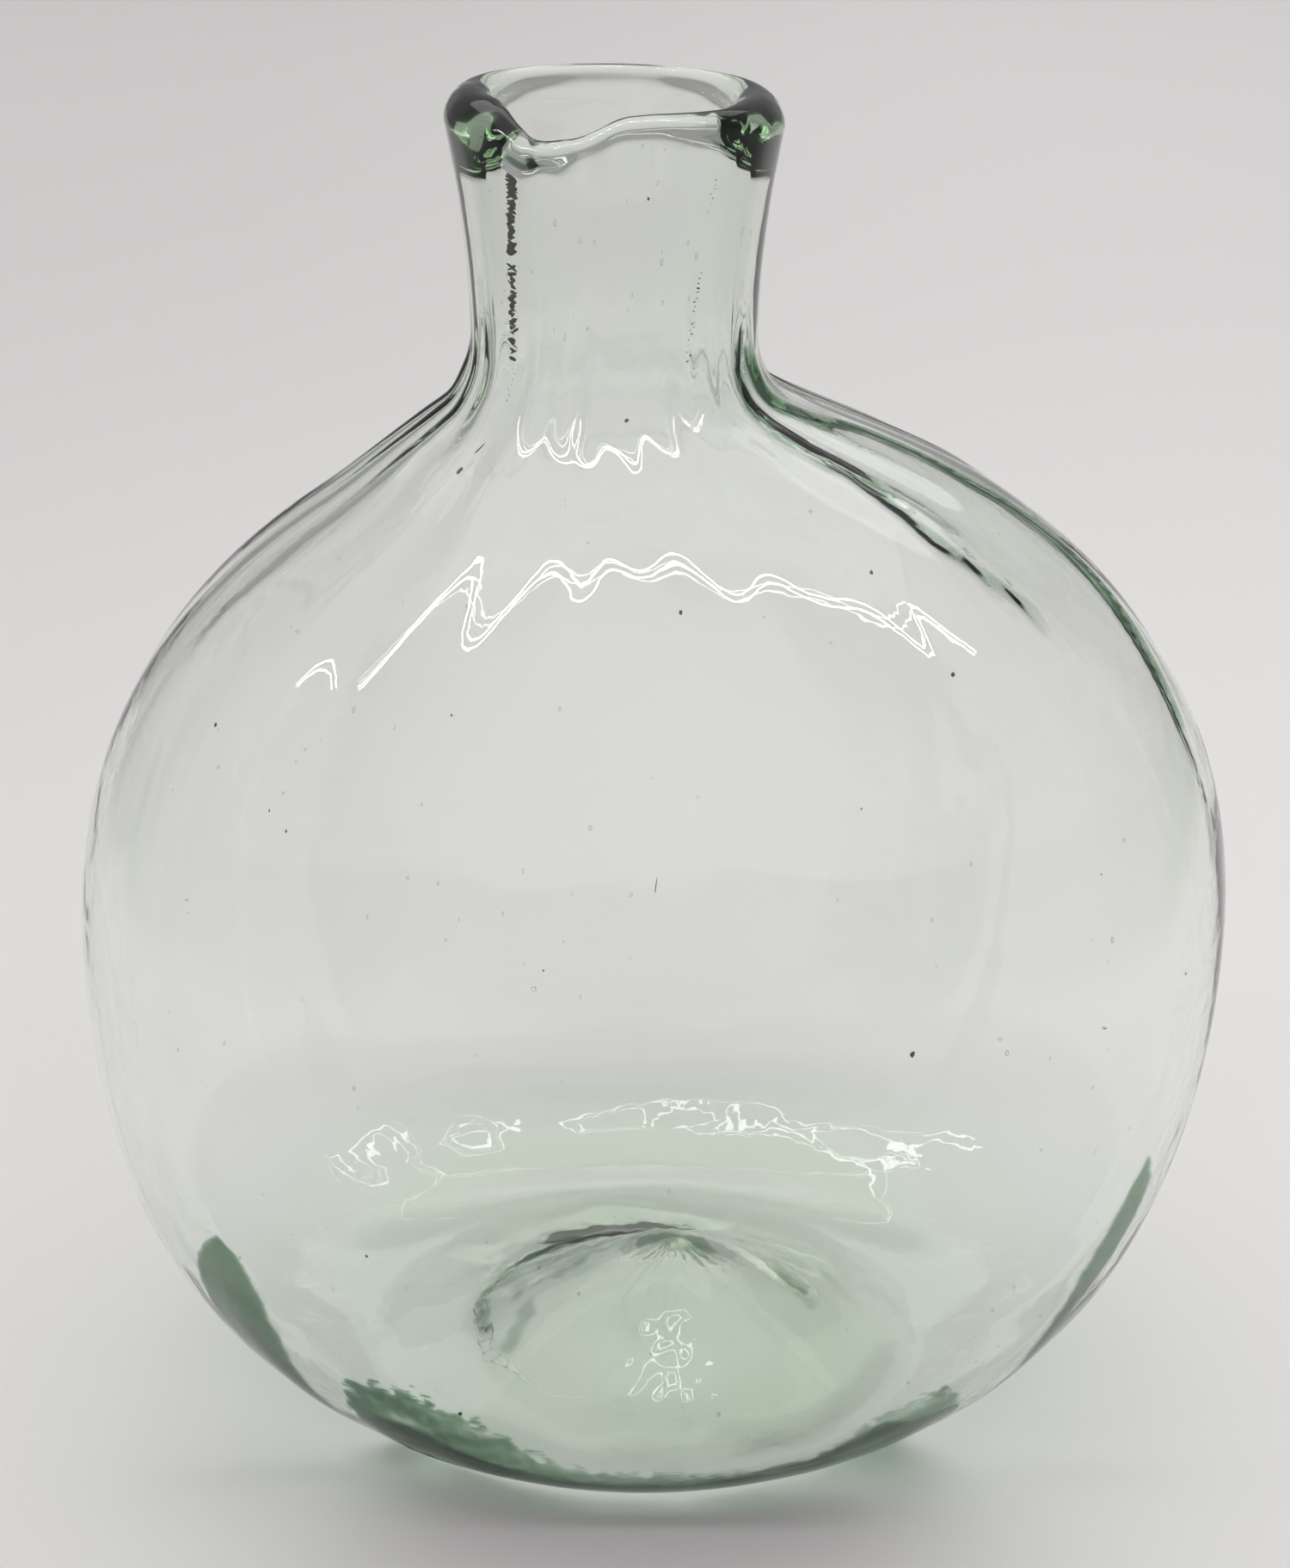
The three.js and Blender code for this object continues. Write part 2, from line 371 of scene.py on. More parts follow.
# %% Folds and creases of the shoulder
FOLD_UPPER = (
    # height and angle in degrees
    (67.5, 346), (71.6, 348), (75.7, 351), (80.6, 356), (83.6, 358), (87.7, 356),
    (90.3, 361), (92.0, 360), (93.4, 352), (94.8, 346), (97.2, 346), (100.6, 338),
)
FOLD_LOWER = (
    (79.3, 328), (81.4, 328), (83.9, 326), (85.9, 324), (88.5, 324), (90.7, 329),
    (92.0, 326), (93.0, 327), (94.1, 327), (97.0, 331), (100.0, 333),
)
CREASES = (
    # depth in mm, half width in mm, line
    (0.16, 1.3, ((63.1, 209), (71.6, 206), (78.5, 199), (83.2, 204), (87.7, 208), (94.4, 203), (98.2, 209))),
    (0.14, 1.1, ((66.0, 222), (76.0, 219), (84.0, 221), (91.0, 222), (96.0, 226))),
    (0.12, 1.4, ((59.6, 334), (72.7, 330), (80.6, 328), (85.9, 324), (90.5, 329))),
    (0.10, 1.2, ((70.0, 306), (78.5, 308), (85.9, 306), (92.0, 303), (98.0, 305))),
)
UPPER_RIDGE_WIDTH, LOWER_RIDGE_WIDTH = 0.8, 0.6


def from_line(line, height, radius):
    """Distance in mm round the bottle from a line that is given as (height, angle) pairs."""
    heights, line_angles = np.array(line, float).T
    middle = np.interp(height, heights, line_angles)
    return np.radians(turned(degrees, middle)) * radius


def fold_shape(height, radius):
    """The flap between the two ridges, and the ridges themselves, each about 0 to 1."""
    upper = from_line(FOLD_UPPER, height, radius)
    lower = from_line(FOLD_LOWER, height, radius)
    wander = 0.5 * np.sin(1.9 * height) + 0.3 * np.sin(4.3 * height + 1.0)
    flap_share = ease(lower + wander, -0.5, 0.7) * (1 - ease(upper, -0.7, 0.5))
    on_upper = bell(upper, UPPER_RIDGE_WIDTH) * within(height, 66, 101, 4)
    on_lower = bell(lower + wander, LOWER_RIDGE_WIDTH) * within(height, 80, 99, 2)
    return flap_share * within(height, 80, 98, 5), on_upper, on_lower


def crease_shape(height, radius):
    """Soft grooves down the shoulder, in millimetres."""
    depth = 0
    for amount, half_width, line in CREASES:
        reach = within(height, line[0][0], line[-1][0], 3)
        depth = depth + amount * reach * bell(from_line(line, height, radius), half_width)
    return depth


print("lines down the shoulder:", 2 + len(CREASES))

# %% [markdown]
# The walls. The outside is the outline swept round and rippled. The inside is the outside moved in
# along its own normals by the wall's thickness, so the two skins never cross. A Solidify modifier does
# the same with one thickness, but here the wall is thin in the belly, thick low at the back where the
# glass sagged, and thick again in the rolled lip.

# %% Outer skin
FLAP_LIFT, UPPER_RIDGE_LIFT, LOWER_RIDGE_LIFT, CREASE_SINK = 0.26, 0.20, 0.09, 0.8
GATHER_DEPTH, GATHER_WAVE = 0.075, 3.6

outside = ring_grid(outline)
foot_fade = ease(outline[:, 2], 0.0, 5.0)[:, None]
level_height = np.broadcast_to(outline[:, 2:3], outside.shape[:2])
level_radius = np.broadcast_to(outline[:, :1], outside.shape[:2])
flap, ridge_upper, ridge_lower = fold_shape(level_height, level_radius)
creases = crease_shape(level_height, level_radius)
ridges = UPPER_RIDGE_LIFT * ridge_upper + LOWER_RIDGE_LIFT * ridge_lower
folded = FLAP_LIFT * flap + ridges - CREASE_SINK * creases
upright = outside * np.array([1.0, 1.0, 0.35])
gathers = GATHER_DEPTH * within(level_height, 93.5, 101.5, 2.0) * ripple(upright, GATHER_WAVE, seed=37)
moved_out = foot_fade * skin_error(outside, angles) + folded + gathers
outside = outside + grid_normals(outside) * moved_out[..., None]
outside_normals = grid_normals(outside)
print("folds and ripples: %.2f to %.2f mm" % (moved_out.min(), moved_out.max()))

# %% Thickness of the glass
BODY_WALL, NECK_WALL = 0.65, 0.95
FOOT_ROLL, FOOT_ROLL_TOP = 0.1, 2.6
BACK_FILLET, FILLET_START = 2.85, 3.0
FILLET_TOP_SIDES, FILLET_TOP_MIDDLE = 15.5, 12.5
FILLET_RIPPLE, FILLET_WAVE = 0.03, 2.6
WALL_PLEAT = 0.055
NECK_RIPPLE, NECK_WAVE = 0.05, 7
BEAD_DEPTH = 0.75


def wall_grid():
    """Thickness of the glass at each point of the outside."""
    height = level_height
    body = BODY_WALL * (1 + 0.12 * ripple(outside, 40, seed=31))
    body = body + FOOT_ROLL * (1 - ease(height, 0.0, FOOT_ROLL_TOP))
    to_back = bell(turned(degrees, 90), 55, 4)
    middle_back = bell(turned(degrees, 90), 28)
    fillet_top = between(FILLET_TOP_SIDES, FILLET_TOP_MIDDLE, middle_back)
    fillet = BACK_FILLET * to_back * (1 - ease(height, FILLET_START, fillet_top))
    body = body + fillet * ease(height, 0.0, 2.5)
    squeezed = outside * np.array([0.2, 0.2, 1.0])
    low_ripple = FILLET_RIPPLE * to_back * within(height, 4.5, 11.5, 1.5)
    body = body + low_ripple * ripple(squeezed, FILLET_WAVE, seed=36)
    soft = ease(height, 60, 76) * (1 - ease(height, 97, 104))
    body = body + WALL_PLEAT * soft * pleats(angles, height, seed=1006)
    body = body + 0.35 * flap + 0.5 * ridge_upper + 0.25 * ridge_lower - 0.4 * creases
    drawn = outside * np.array([1, 1, 0.2])
    neck_wall = NECK_WALL + NECK_RIPPLE * ripple(drawn, NECK_WAVE, seed=33) + 0.5 * ridge_upper
    below_bead = np.clip((LIP_EDGE[2] - height) / (BEAD_DEPTH * lip_wall), 0, 1)
    bead_share = (1 - below_bead**2) ** 0.9
    return between(between(body, neck_wall, ease(height, 88, 102)), lip_wall, bead_share)


thickness = wall_grid()
print("wall: %.1f to %.1f mm" % (thickness.min(), thickness.max()))

# %% Inner skin, and the broken front of the lip
CHIP_ANGLE, CHIP_SPREAD, CHIP_DEPTH, CHIP_WAVE = 256, 15, 0.16, 3.0

inside = outside - outside_normals * thickness[..., None]
outside = lift_lip(outside)
inside = lift_lip(inside)
chip = bell(turned(degrees, CHIP_ANGLE), CHIP_SPREAD, 4) * ease(level_height, 112.5, 117.5)
outside = outside + outside_normals * (CHIP_DEPTH * chip * ripple(outside, CHIP_WAVE, seed=51))[..., None]
print("bore at the lip: %.1f mm" % np.ptp(inside[-1, :, 0]))

# %% [markdown]
# The lip is a half circle of rings from the outer edge over to the bore. Below, the bottle stands on a
# narrow ring, and the maker pushed the middle of the base up while it was soft. The push left a dome
# with a slightly pointed tip a little right of the middle, so rings that shrink towards that tip follow
# it better than a sphere would.

# %% Lip, underside and foot
LIP_RINGS, FOOT_RINGS, KICK_RINGS, FLOOR_RINGS = 12, 4, 14, 37
FOOT_RING_WIDTH = 3.0
FOOT_ROUNDING = 0.12
KICK_HEIGHT = 8.6
KICK_POINTEDNESS = 0.15
KICK_RIPPLE, KICK_WAVE = 0.12, 9
TIP = np.array([2.2, 0.0])
KICK_RIM = np.array([FOOT_HALF_WIDTH - FOOT_RING_WIDTH, FOOT_HALF_DEPTH - FOOT_RING_WIDTH])


def lip_grid():
    """A half circle from the outer edge of the lip over to the bore."""
    outer, inner = outside[-1], inside[-1]
    middle = (outer + inner) / 2
    reach = outer - middle
    height = np.linalg.norm(reach, axis=-1)
    rings = []
    for turn in np.linspace(0, math.pi, LIP_RINGS + 2)[1:-1]:
        ring = middle + reach * math.cos(turn)
        ring[:, 2] += height * math.sin(turn)
        rings.append(ring)
    return np.array(rings)


def kick_rise(share):
    """The pushed-up base: 1 at its tip, 0 at the foot ring."""
    dome = (1 + np.cos(math.pi * np.clip(share, 0, 1))) / 2
    tent = (1 - np.clip(share, 0, 1)) ** 2
    return between(dome, tent, KICK_POINTEDNESS)


def underside_height(x, y):
    """Height of the base's underside over a point of the ground."""
    return KICK_HEIGHT * kick_rise(np.hypot(x / KICK_RIM[0], y / KICK_RIM[1]))


def underside_grid():
    """Rings of the underside, from near the tip out to the foot ring."""
    share = np.linspace(0, 1, KICK_RINGS + 1)[1:]
    levels = np.column_stack([share * KICK_RIM[0], share * KICK_RIM[1], KICK_HEIGHT * kick_rise(share)])
    grid = ring_grid(levels)
    grid[..., :2] += (1 - share)[:, None, None] * TIP
    fade = (1 - ease(share, 0.8, 1.0))[:, None]
    grid[..., 2] += fade * KICK_RIPPLE * ripple(grid, KICK_WAVE, seed=41)
    return grid


def foot_grid():
    """The ring that stands on the ground, very slightly rounded."""
    share = np.linspace(0, 1, FOOT_RINGS + 2)[1:-1]
    reach = FOOT_RING_WIDTH * (1 - share)
    rounding = FOOT_ROUNDING * (2 * share - 1) ** 2
    levels = np.column_stack([FOOT_HALF_WIDTH - reach, FOOT_HALF_DEPTH - reach, rounding - FOOT_ROUNDING])
    return ring_grid(levels)


print("pushed up by %.1f mm at the tip" % KICK_HEIGHT)

# %% [markdown]
# The floor inside follows the push, with glass of its own thickness over it. Its front slope is a cone
# of nearly one steepness, because only such a slope mirrors the strip of lamps as a patch. A fine
# ripple breaks that patch into a net of bright lines, and small pleats run down from the tip.

# %% Floor inside
FLOOR_WALL = 2.3
PUSH_SLOPE, PUSH_SLOPE_CHANGE = 0.885, 0.026
PUSH_FROM, PUSH_TO = 8.0, 16.5
PUSH_ANGLE, PUSH_SPREAD = 265, 30
PUSH_RIPPLE, PUSH_WAVE = 0.024, 2.1
FLOOR_RIPPLE, FLOOR_WAVE = 0.10, 9
TIP_PLEAT, TIP_PLEATS, TIP_PLEAT_RADIUS, TIP_PLEAT_SPREAD = 0.05, 23, 3.2, 2.2
BUMP_BEHIND, BUMP_RADIUS, BUMP_SPREAD = 0.1, 1.5, 3.5


def front_push(radius, rim, rise):
    """Extra height that turns the front slope of the floor into a cone of one steepness."""
    places = np.linspace(0, rim, 400)
    slopes = -np.gradient(rise * kick_rise(places / rim), places)
    wanted = PUSH_SLOPE - PUSH_SLOPE_CHANGE * (places - PUSH_FROM)
    missing = np.clip(wanted - slopes, 0, 1) * within(places, PUSH_FROM, PUSH_TO, 0.8)
    drop = np.concatenate([[0], np.cumsum(missing[1:] * np.diff(places))])
    push = (drop[-1] / 2 - drop) * ease(places, 1.5, PUSH_FROM) * (1 - ease(places, PUSH_TO, rim))
    return np.interp(radius, places, push)


def floor_shares():
    """Shares of the way from the tip to the heel, closer together on the slope that shines."""
    fine = np.linspace(1, 0, 1001)
    density = 1 + 1.2 * within(fine, 0.3, 0.75, 0.05)
    steps = np.concatenate([[0], np.cumsum((density[1:] + density[:-1]) / 2)])
    return np.interp(np.linspace(0, steps[-1], FLOOR_RINGS + 1)[1:-1], steps, fine)


def floor_grid():
    """Rings of the floor, from the inner heel up to the tip, and the tip itself."""
    edge = inside[0]
    middle_edge = np.array([edge[:, 0].mean(), edge[:, 1].mean()])
    reach_x = np.ptp(edge[:, 0]) / 2
    reach_y = np.ptp(edge[:, 1]) / 2
    even = np.column_stack([middle_edge[0] + reach_x * cosines, middle_edge[1] + reach_y * sines])
    tip = np.array([TIP[0], TIP[1], KICK_HEIGHT + FLOOR_WALL])
    rise = tip[2] - edge[:, 2].mean()
    window = bell(turned(degrees, PUSH_ANGLE), PUSH_SPREAD, 4)
    in_front = bell(turned(degrees, 270), 70, 4)
    rings = []
    for share in floor_shares():
        loose = 1 - ease(share, 0.7, 1.0)
        around = between(edge[:, :2], even, loose)
        flat = between(TIP[None, :], around, share)
        edge_height = between(edge[:, 2], edge[:, 2].mean(), loose)
        radius = np.hypot(flat[:, 0] - TIP[0], flat[:, 1] - TIP[1])
        ring = np.column_stack([flat, between(edge_height, tip[2], kick_rise(share))])
        ring[:, 2] += window * front_push(radius, reach_y, rise)
        ring[:, 2] += PUSH_RIPPLE * window * ripple(ring, PUSH_WAVE, seed=44) * within(radius, 7, 17, 2)
        near_tip = bell(radius - TIP_PLEAT_RADIUS, TIP_PLEAT_SPREAD)
        tip_pleats = TIP_PLEAT * near_tip * np.sin(TIP_PLEATS * angles + 2 * np.sin(3 * angles))
        floor_ripple = FLOOR_RIPPLE * ripple(ring, FLOOR_WAVE, seed=43) * ease(radius, 1, 6) * (1 - window)
        ring[:, 2] += tip_pleats * in_front + floor_ripple
        behind = BUMP_BEHIND * bell(radius - BUMP_RADIUS, BUMP_SPREAD)
        ring[:, 2] += behind * (1 - in_front) * ease(radius, 0, 3)
        rings.append(ring)
    return np.array(rings), tip


floor_rings, floor_tip = floor_grid()
underside_tip = np.array([TIP[0], TIP[1], KICK_HEIGHT])
print("floor: %d rings, tip at %.1f mm" % (len(floor_rings), floor_tip[2]))

# %% [markdown]
# Clear glass only bends and tints light rightly if it is one closed body with its faces outwards. So
# the grids are stacked in one order, from the tip of the underside, out over the foot, up the outside,
# over the lip, down the inside and in over the floor, and joined into a single mesh.

# %% Join the grids into one closed skin
def add_piece(name, points_mm, faces, smooth=True):
    """A new piece from points in millimetres and the faces between them."""
    mesh = bpy.data.meshes.new(name)
    mesh.from_pydata((points_mm * MM).tolist(), [], faces)
    if smooth:
        mesh.shade_smooth()
    piece = bpy.data.objects.new(name, mesh)
    scene.collection.objects.link(piece)
    print("%s: %d faces" % (name, len(mesh.polygons)))
    return piece


def ring_faces(rings, count, first=0):
    """The faces between rings of so many points, which are numbered ring after ring."""
    starts = first + np.arange(rings - 1)[:, None] * count
    here = np.arange(count)[None, :]
    a, b = starts + here, starts + (here + 1) % count
    return np.stack([a, b, b + count, a + count], axis=-1).reshape(-1, 4).tolist()


def closed_skin(name, rings, first_tip, last_tip):
    """One piece from a tip, through rings of AROUND points, to another tip."""
    points = np.vstack([first_tip[None, :], rings.reshape(-1, 3), last_tip[None, :]])
    last = len(points) - 1
    top = last - AROUND
    fan_low = [(0, 1 + (i + 1) % AROUND, 1 + i) for i in range(AROUND)]
    fan_high = [(top + i, top + (i + 1) % AROUND, last) for i in range(AROUND)]
    return add_piece(name, points, ring_faces(len(rings), AROUND, first=1) + fan_low + fan_high)


skin = np.concatenate([
    underside_grid(), foot_grid(), outside, lip_grid(), inside[::-1], floor_rings,
])
for part in (skin, underside_tip[None, :], floor_tip[None, :]):
    part[..., 2] += FOOT_ROUNDING
bottle = closed_skin("blown_bottle", skin, underside_tip, floor_tip)

# %% [markdown]
# Materials. One small function adds a node with its settings and links, and another turns the sRGB
# hex value of a colour into the linear numbers that Blender works in. Two more make what several
# materials share: a faint waviness of the surface, and the absorption inside coloured glass.

# %% Helpers for materials
CLEAR = (1.0, 1.0, 1.0, 1.0)


def linear(hex_colour):
    """Linear RGBA from an sRGB hex value such as 'c4cfc0'."""
    values = [int(hex_colour[i:i + 2], 16) / 255 for i in (0, 2, 4)]
    return tuple(v / 12.92 if v <= 0.04045 else ((v + 0.055) / 1.055) ** 2.4 for v in values) + (1.0,)


def add_node(tree, kind, inputs=None, **settings):
    """Adds a node, sets its properties, and fills its inputs with values, or with links from nodes."""
    node = tree.nodes.new(kind)
    for key, value in settings.items():
        setattr(node, key, value)
    for key, value in (inputs or {}).items():
        if isinstance(value, bpy.types.Node):
            value = value.outputs[0]
        if isinstance(value, bpy.types.NodeSocket):
            tree.links.new(value, node.inputs[key])
        else:
            node.inputs[key].default_value = value
    return node


def new_material(name):
    """An empty node material, its tree, and the Object coordinates in it."""
    material = bpy.data.materials.new(name)
    material.use_nodes = True
    tree = material.node_tree
    tree.nodes.clear()
    print("material:", name)
    return material, tree, add_node(tree, "ShaderNodeTexCoord").outputs["Object"]


def waviness(tree, place, waves_per_metre, detail, strength, height):
    """Noise that sits on the piece, and the bump that it gives the surface."""
    noise = add_node(tree, "ShaderNodeTexNoise", {
        "Vector": place, "Scale": waves_per_metre, "Detail": detail,
    })
    bump = add_node(tree, "ShaderNodeBump", {"Height": noise, "Strength": strength, "Distance": height})
    return noise, bump


def absorption(per_metre):
    """Colour and density that take so much of red, green and blue out of each metre of light's way."""
    density = max(per_metre)
    tint = tuple(1 - part / density for part in per_metre) + (1.0,)
    return {"Color": tint, "Density": density}


print("linear value of a middle grey: %.3f" % linear("808080")[0])

# %% [markdown]
# Green bottle glass is sand, ash and lime, melted with the iron that was in the sand, and blown. Its
# surface set in the air and not against a mould, so it is as smooth as a liquid, with waves a few
# millimetres long.
# A thin wall of it looks almost clear and a thick one green, so the colour belongs in the volume and
# not on the surface: Volume Absorption takes a little red and blue out of each millimetre of the way.
# Light reaches the paper by a plain trick. Rays that come from the paper, both the shadow rays towards
# the lamps and the diffuse rays towards the tent, meet a transparent surface that doesn't bend them, as
# true caustics would need thousands of samples. A chosen shade takes their place: a little where the
# wall is met at a grazing angle, and more through the front of the heel and a band low at the back.

# %% Green bottle glass
GLASS_IOR = 1.52
GLASS_ABSORPTION = (33.0, 10.0, 39.0)
GLASS_WAVES_PER_METRE = 260.0  # A wave is about 4 mm long.
WAVE_HEIGHT = 0.4 * MM
RIM_SHADE = 0.2
NO_SHADE_FRESNEL, FULL_SHADE_FRESNEL = 0.20, 0.95
SHADED_BANDS = (
    # strength, and for each axis where the shade starts and where it is full, in millimetres
    (1.0, (("Z", 24, 14), ("Z", 2.0, 3.2), ("Y", -23, -27))),
    (0.9, (("Z", 44, 36), ("Z", 12, 18), ("Y", 28, 33))),
)


def paper_light(tree, place):
    """What the light on the paper meets instead of glass: a clear surface with a chosen shade."""
    grazing = add_node(tree, "ShaderNodeFresnel", {"IOR": GLASS_IOR})
    taken = add_node(tree, "ShaderNodeMapRange", {
        "Value": grazing, "From Min": NO_SHADE_FRESNEL, "From Max": FULL_SHADE_FRESNEL, "To Max": RIM_SHADE,
    })
    axes = add_node(tree, "ShaderNodeSeparateXYZ", {"Vector": place}).outputs
    for strength, limits in SHADED_BANDS:
        band = strength
        for axis, start, full in limits:
            inside_limit = add_node(tree, "ShaderNodeMapRange", {
                "Value": axes[axis], "From Min": start * MM, "From Max": full * MM,
            })
            band = add_node(tree, "ShaderNodeMath", {0: band, 1: inside_limit}, operation="MULTIPLY")
        taken = add_node(tree, "ShaderNodeMath", {0: taken, 1: band}, operation="ADD", use_clamp=True)
    shade = add_node(tree, "ShaderNodeMix", {
        "Factor": taken, "A": linear("feffff"), "B": linear("202420"),
    }, data_type="RGBA")
    return add_node(tree, "ShaderNodeBsdfTransparent", {"Color": shade.outputs["Result"]})


def bottle_glass_material(name, roughness, wave_strength):
    """Clear green glass, as smooth or as rough as asked."""
    material, tree, place = new_material(name)
    _, normal = waviness(tree, place, GLASS_WAVES_PER_METRE, 2.0, wave_strength, WAVE_HEIGHT)
    glass = add_node(tree, "ShaderNodeBsdfPrincipled", {
        "Base Color": CLEAR, "Roughness": roughness, "IOR": GLASS_IOR, "Transmission Weight": 1.0,
        "Normal": normal,
    })
    light_path = add_node(tree, "ShaderNodeLightPath").outputs
    from_paper = add_node(tree, "ShaderNodeMath", {
        0: light_path["Is Shadow Ray"], 1: light_path["Is Diffuse Ray"],
    }, operation="MAXIMUM")
    surface = add_node(tree, "ShaderNodeMixShader", {
        "Fac": from_paper, 1: glass, 2: paper_light(tree, place),
    })
    volume = add_node(tree, "ShaderNodeVolumeAbsorption", absorption(GLASS_ABSORPTION))
    add_node(tree, "ShaderNodeOutputMaterial", {"Surface": surface, "Volume": volume})
    return material


bottle.data.materials.append(bottle_glass_material("green_bottle_glass", 0.0, 0.06))
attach(bottle, "root")
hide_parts("bottle_glass")

# %% [markdown]
# Dark green shows where light runs a long way through glass: along the heel, in the fold, round the
# tip of the base and in the rolled ends of the lip. The rendered wall alone shows those places too
# pale. So that darkening is painted shade: each place gets a thin closed body inside the wall that
# absorbs far more than the glass, with a ragged edge. The green is the glass's own, its depth is painted
# shade. The body bends nothing: its index is 1, and rays that have already passed the bottle's own skin
# find it transparent, so that only its volume takes light away. It casts no shadow either, as the
# bottle's own shade stands for that. Its faces must point outwards, since a volume lies on the inner
# side of them.

# %% Painted shade in thick green glass
SHADE_BODY_IOR = 1.0
PAINTED_SHADE_ABSORPTION = (3700.0, 2600.0, 3500.0)
LIP_PAINTED_SHADE_ABSORPTION = (1700.0, 1350.0, 1640.0)
SHADE_BODY_WAVES_PER_METRE = 900.0  # A wave is about 1 mm long.
SHADE_BODY_WAVE_HEIGHT = 0.2 * MM


def painted_shade_material(name, per_metre):
    """Painted shade: glass without a surface of its own, which only takes light away."""
    material, tree, place = new_material(name)
    _, normal = waviness(tree, place, SHADE_BODY_WAVES_PER_METRE, 1.0, 0.1, SHADE_BODY_WAVE_HEIGHT)
    clear = add_node(tree, "ShaderNodeBsdfPrincipled", {
        "Base Color": CLEAR, "Roughness": 0.0, "IOR": SHADE_BODY_IOR, "Transmission Weight": 1.0,
        "Normal": normal,
    })
    through = add_node(tree, "ShaderNodeBsdfTransparent", {"Color": linear("ffffff")})
    first_seen = add_node(tree, "ShaderNodeLightPath").outputs["Is Camera Ray"]
    surface = add_node(tree, "ShaderNodeMixShader", {"Fac": first_seen, 1: through, 2: clear})
    volume = add_node(tree, "ShaderNodeVolumeAbsorption", absorption(per_metre))
    add_node(tree, "ShaderNodeOutputMaterial", {"Surface": surface, "Volume": volume})
    return material


# Painted shade: these two glasses absorb far more than the bottle, to darken its thick places.
heel_shade_glass = painted_shade_material("green_glass_painted_shade", PAINTED_SHADE_ABSORPTION)
lip_shade_glass = painted_shade_material("lip_glass_painted_shade", LIP_PAINTED_SHADE_ABSORPTION)

# %% [markdown]
# Each body of painted shade follows the wall. A patch of the wall is sampled at even heights and angles,
# and a field over it says how much painted shade lies at each place. Where that is nothing the body has
# no thickness, so its edge runs out thin.

# %% Bodies inside the wall
MERGE_DISTANCE = 1e-7
SHADE_BODY_THICKNESS = 0.9


def skin_at(grid, ring, column):
    """A point of a skin between its rings and columns."""
    low_ring = np.clip(np.floor(ring).astype(int), 0, len(grid) - 2)
    low_column = np.floor(column).astype(int)
    across = (column - low_column)[..., None]
    along = (ring - low_ring)[..., None]
    near, far = low_column % AROUND, (low_column + 1) % AROUND
    low = between(grid[low_ring, near], grid[low_ring, far], across)
    high = between(grid[low_ring + 1, near], grid[low_ring + 1, far], across)
    return between(low, high, along)


def wall_patch(height, angle, levels):
    """The outer and the inner skin at heights and angles. Ring by ring, the levels give their heights."""
    ring = np.interp(height, levels, np.arange(len(levels))) + 0 * angle
    two_turns = np.concatenate([degrees, degrees + 360])
    column = np.interp(angle, two_turns, np.arange(2 * AROUND)) + 0 * height
    return skin_at(outside, ring, column), skin_at(inside, ring, column)


def close_up(piece, merged=True, capped=False, turned_out=False):
    """Merges doubled points, caps open ends and turns the faces outwards, as far as asked."""
    shape = bmesh.new()
    shape.from_mesh(piece.data)
    if merged:
        bmesh.ops.remove_doubles(shape, verts=shape.verts, dist=MERGE_DISTANCE)
        loose = [vertex for vertex in shape.verts if not vertex.link_faces]
        bmesh.ops.delete(shape, geom=loose, context="VERTS")
    if capped:
        bmesh.ops.holes_fill(shape, edges=[edge for edge in shape.edges if edge.is_boundary], sides=0)
    if turned_out:
        bmesh.ops.recalc_face_normals(shape, faces=shape.faces)
    if shape.calc_volume(signed=True) < 0:
        bmesh.ops.reverse_faces(shape, faces=shape.faces)
    shape.to_mesh(piece.data)
    shape.free()
    print("%s, cleaned up: %d faces" % (piece.name, len(piece.data.polygons)))
    return piece


def body_between(name, low_skin, high_skin, amount):
    """A closed body between two grids of points. Where amount is 0 it has no thickness and is left out."""
    share = (np.sqrt(np.clip(amount, 0, 1)) / 2)[..., None]
    middle = (low_skin + high_skin) / 2
    reach = (high_skin - low_skin) * share
    rows, columns = amount.shape
    points = np.concatenate([(middle - reach).reshape(-1, 3), (middle + reach).reshape(-1, 3)])
    cell = (np.arange(rows - 1)[:, None] * columns + np.arange(columns - 1)[None, :]).ravel()
    filled = amount.ravel() > 0
    corners = np.stack([cell, cell + 1, cell + columns + 1, cell + columns], axis=1)
    corners = corners[filled[corners].any(axis=1)]
    top = corners + rows * columns
    return close_up(add_piece(name, points, corners[:, ::-1].tolist() + top.tolist()))


# The bodies made here are painted shade: dark absorbing glass inside the wall.
def body_in_wall(name, outer, inner, margin, amount):
    """A body that starts a margin inside the outer skin and is at most SHADE_BODY_THICKNESS thick."""
    low, high = between(outer, inner, margin), between(outer, inner, 1 - margin)
    reach = np.linalg.norm(high - low, axis=-1, keepdims=True)
    high = low + (high - low) * np.minimum(1, SHADE_BODY_THICKNESS / reach)
    return body_between(name, low, high, amount)

# %% [markdown]
# In the heel a dark band of painted shade runs round the front, strong towards its ends and faint in
# the middle, with a crescent beside it on the left and on the right. Short lists of angles and heights
# hold their outlines, and ripples fray the edges.

# %% Painted shade in the heel
HEEL_MM_PER_DEGREE = 0.72
FRONT_SHADE_TOP = (
    # angle in degrees and height of the ragged upper edge along the front
    (221, 1.0), (225, 5.0), (230, 7.0), (233, 12.0), (236, 14.0), (244, 14.3), (248.5, 12.6), (253, 10.3),
    (257, 7.9), (263.5, 6.2), (275, 5.8), (287, 5.6), (293, 7.4), (296.5, 9.8), (300, 12.0), (306, 12.6),
    (312, 9.2), (316, 5.0), (321, 1.0),
)
LEFT_SHADE_CRESCENT = (
    # height, and the angles between which the crescent lies
    (3, 226, 226), (4, 222, 226), (6, 218, 224.5), (8, 215, 224.2), (10, 212, 224.6),
    (15, 210.5, 225.5), (20, 213, 225.5), (22.5, 215.5, 225), (25, 219, 223.5), (26, 221, 221),
)
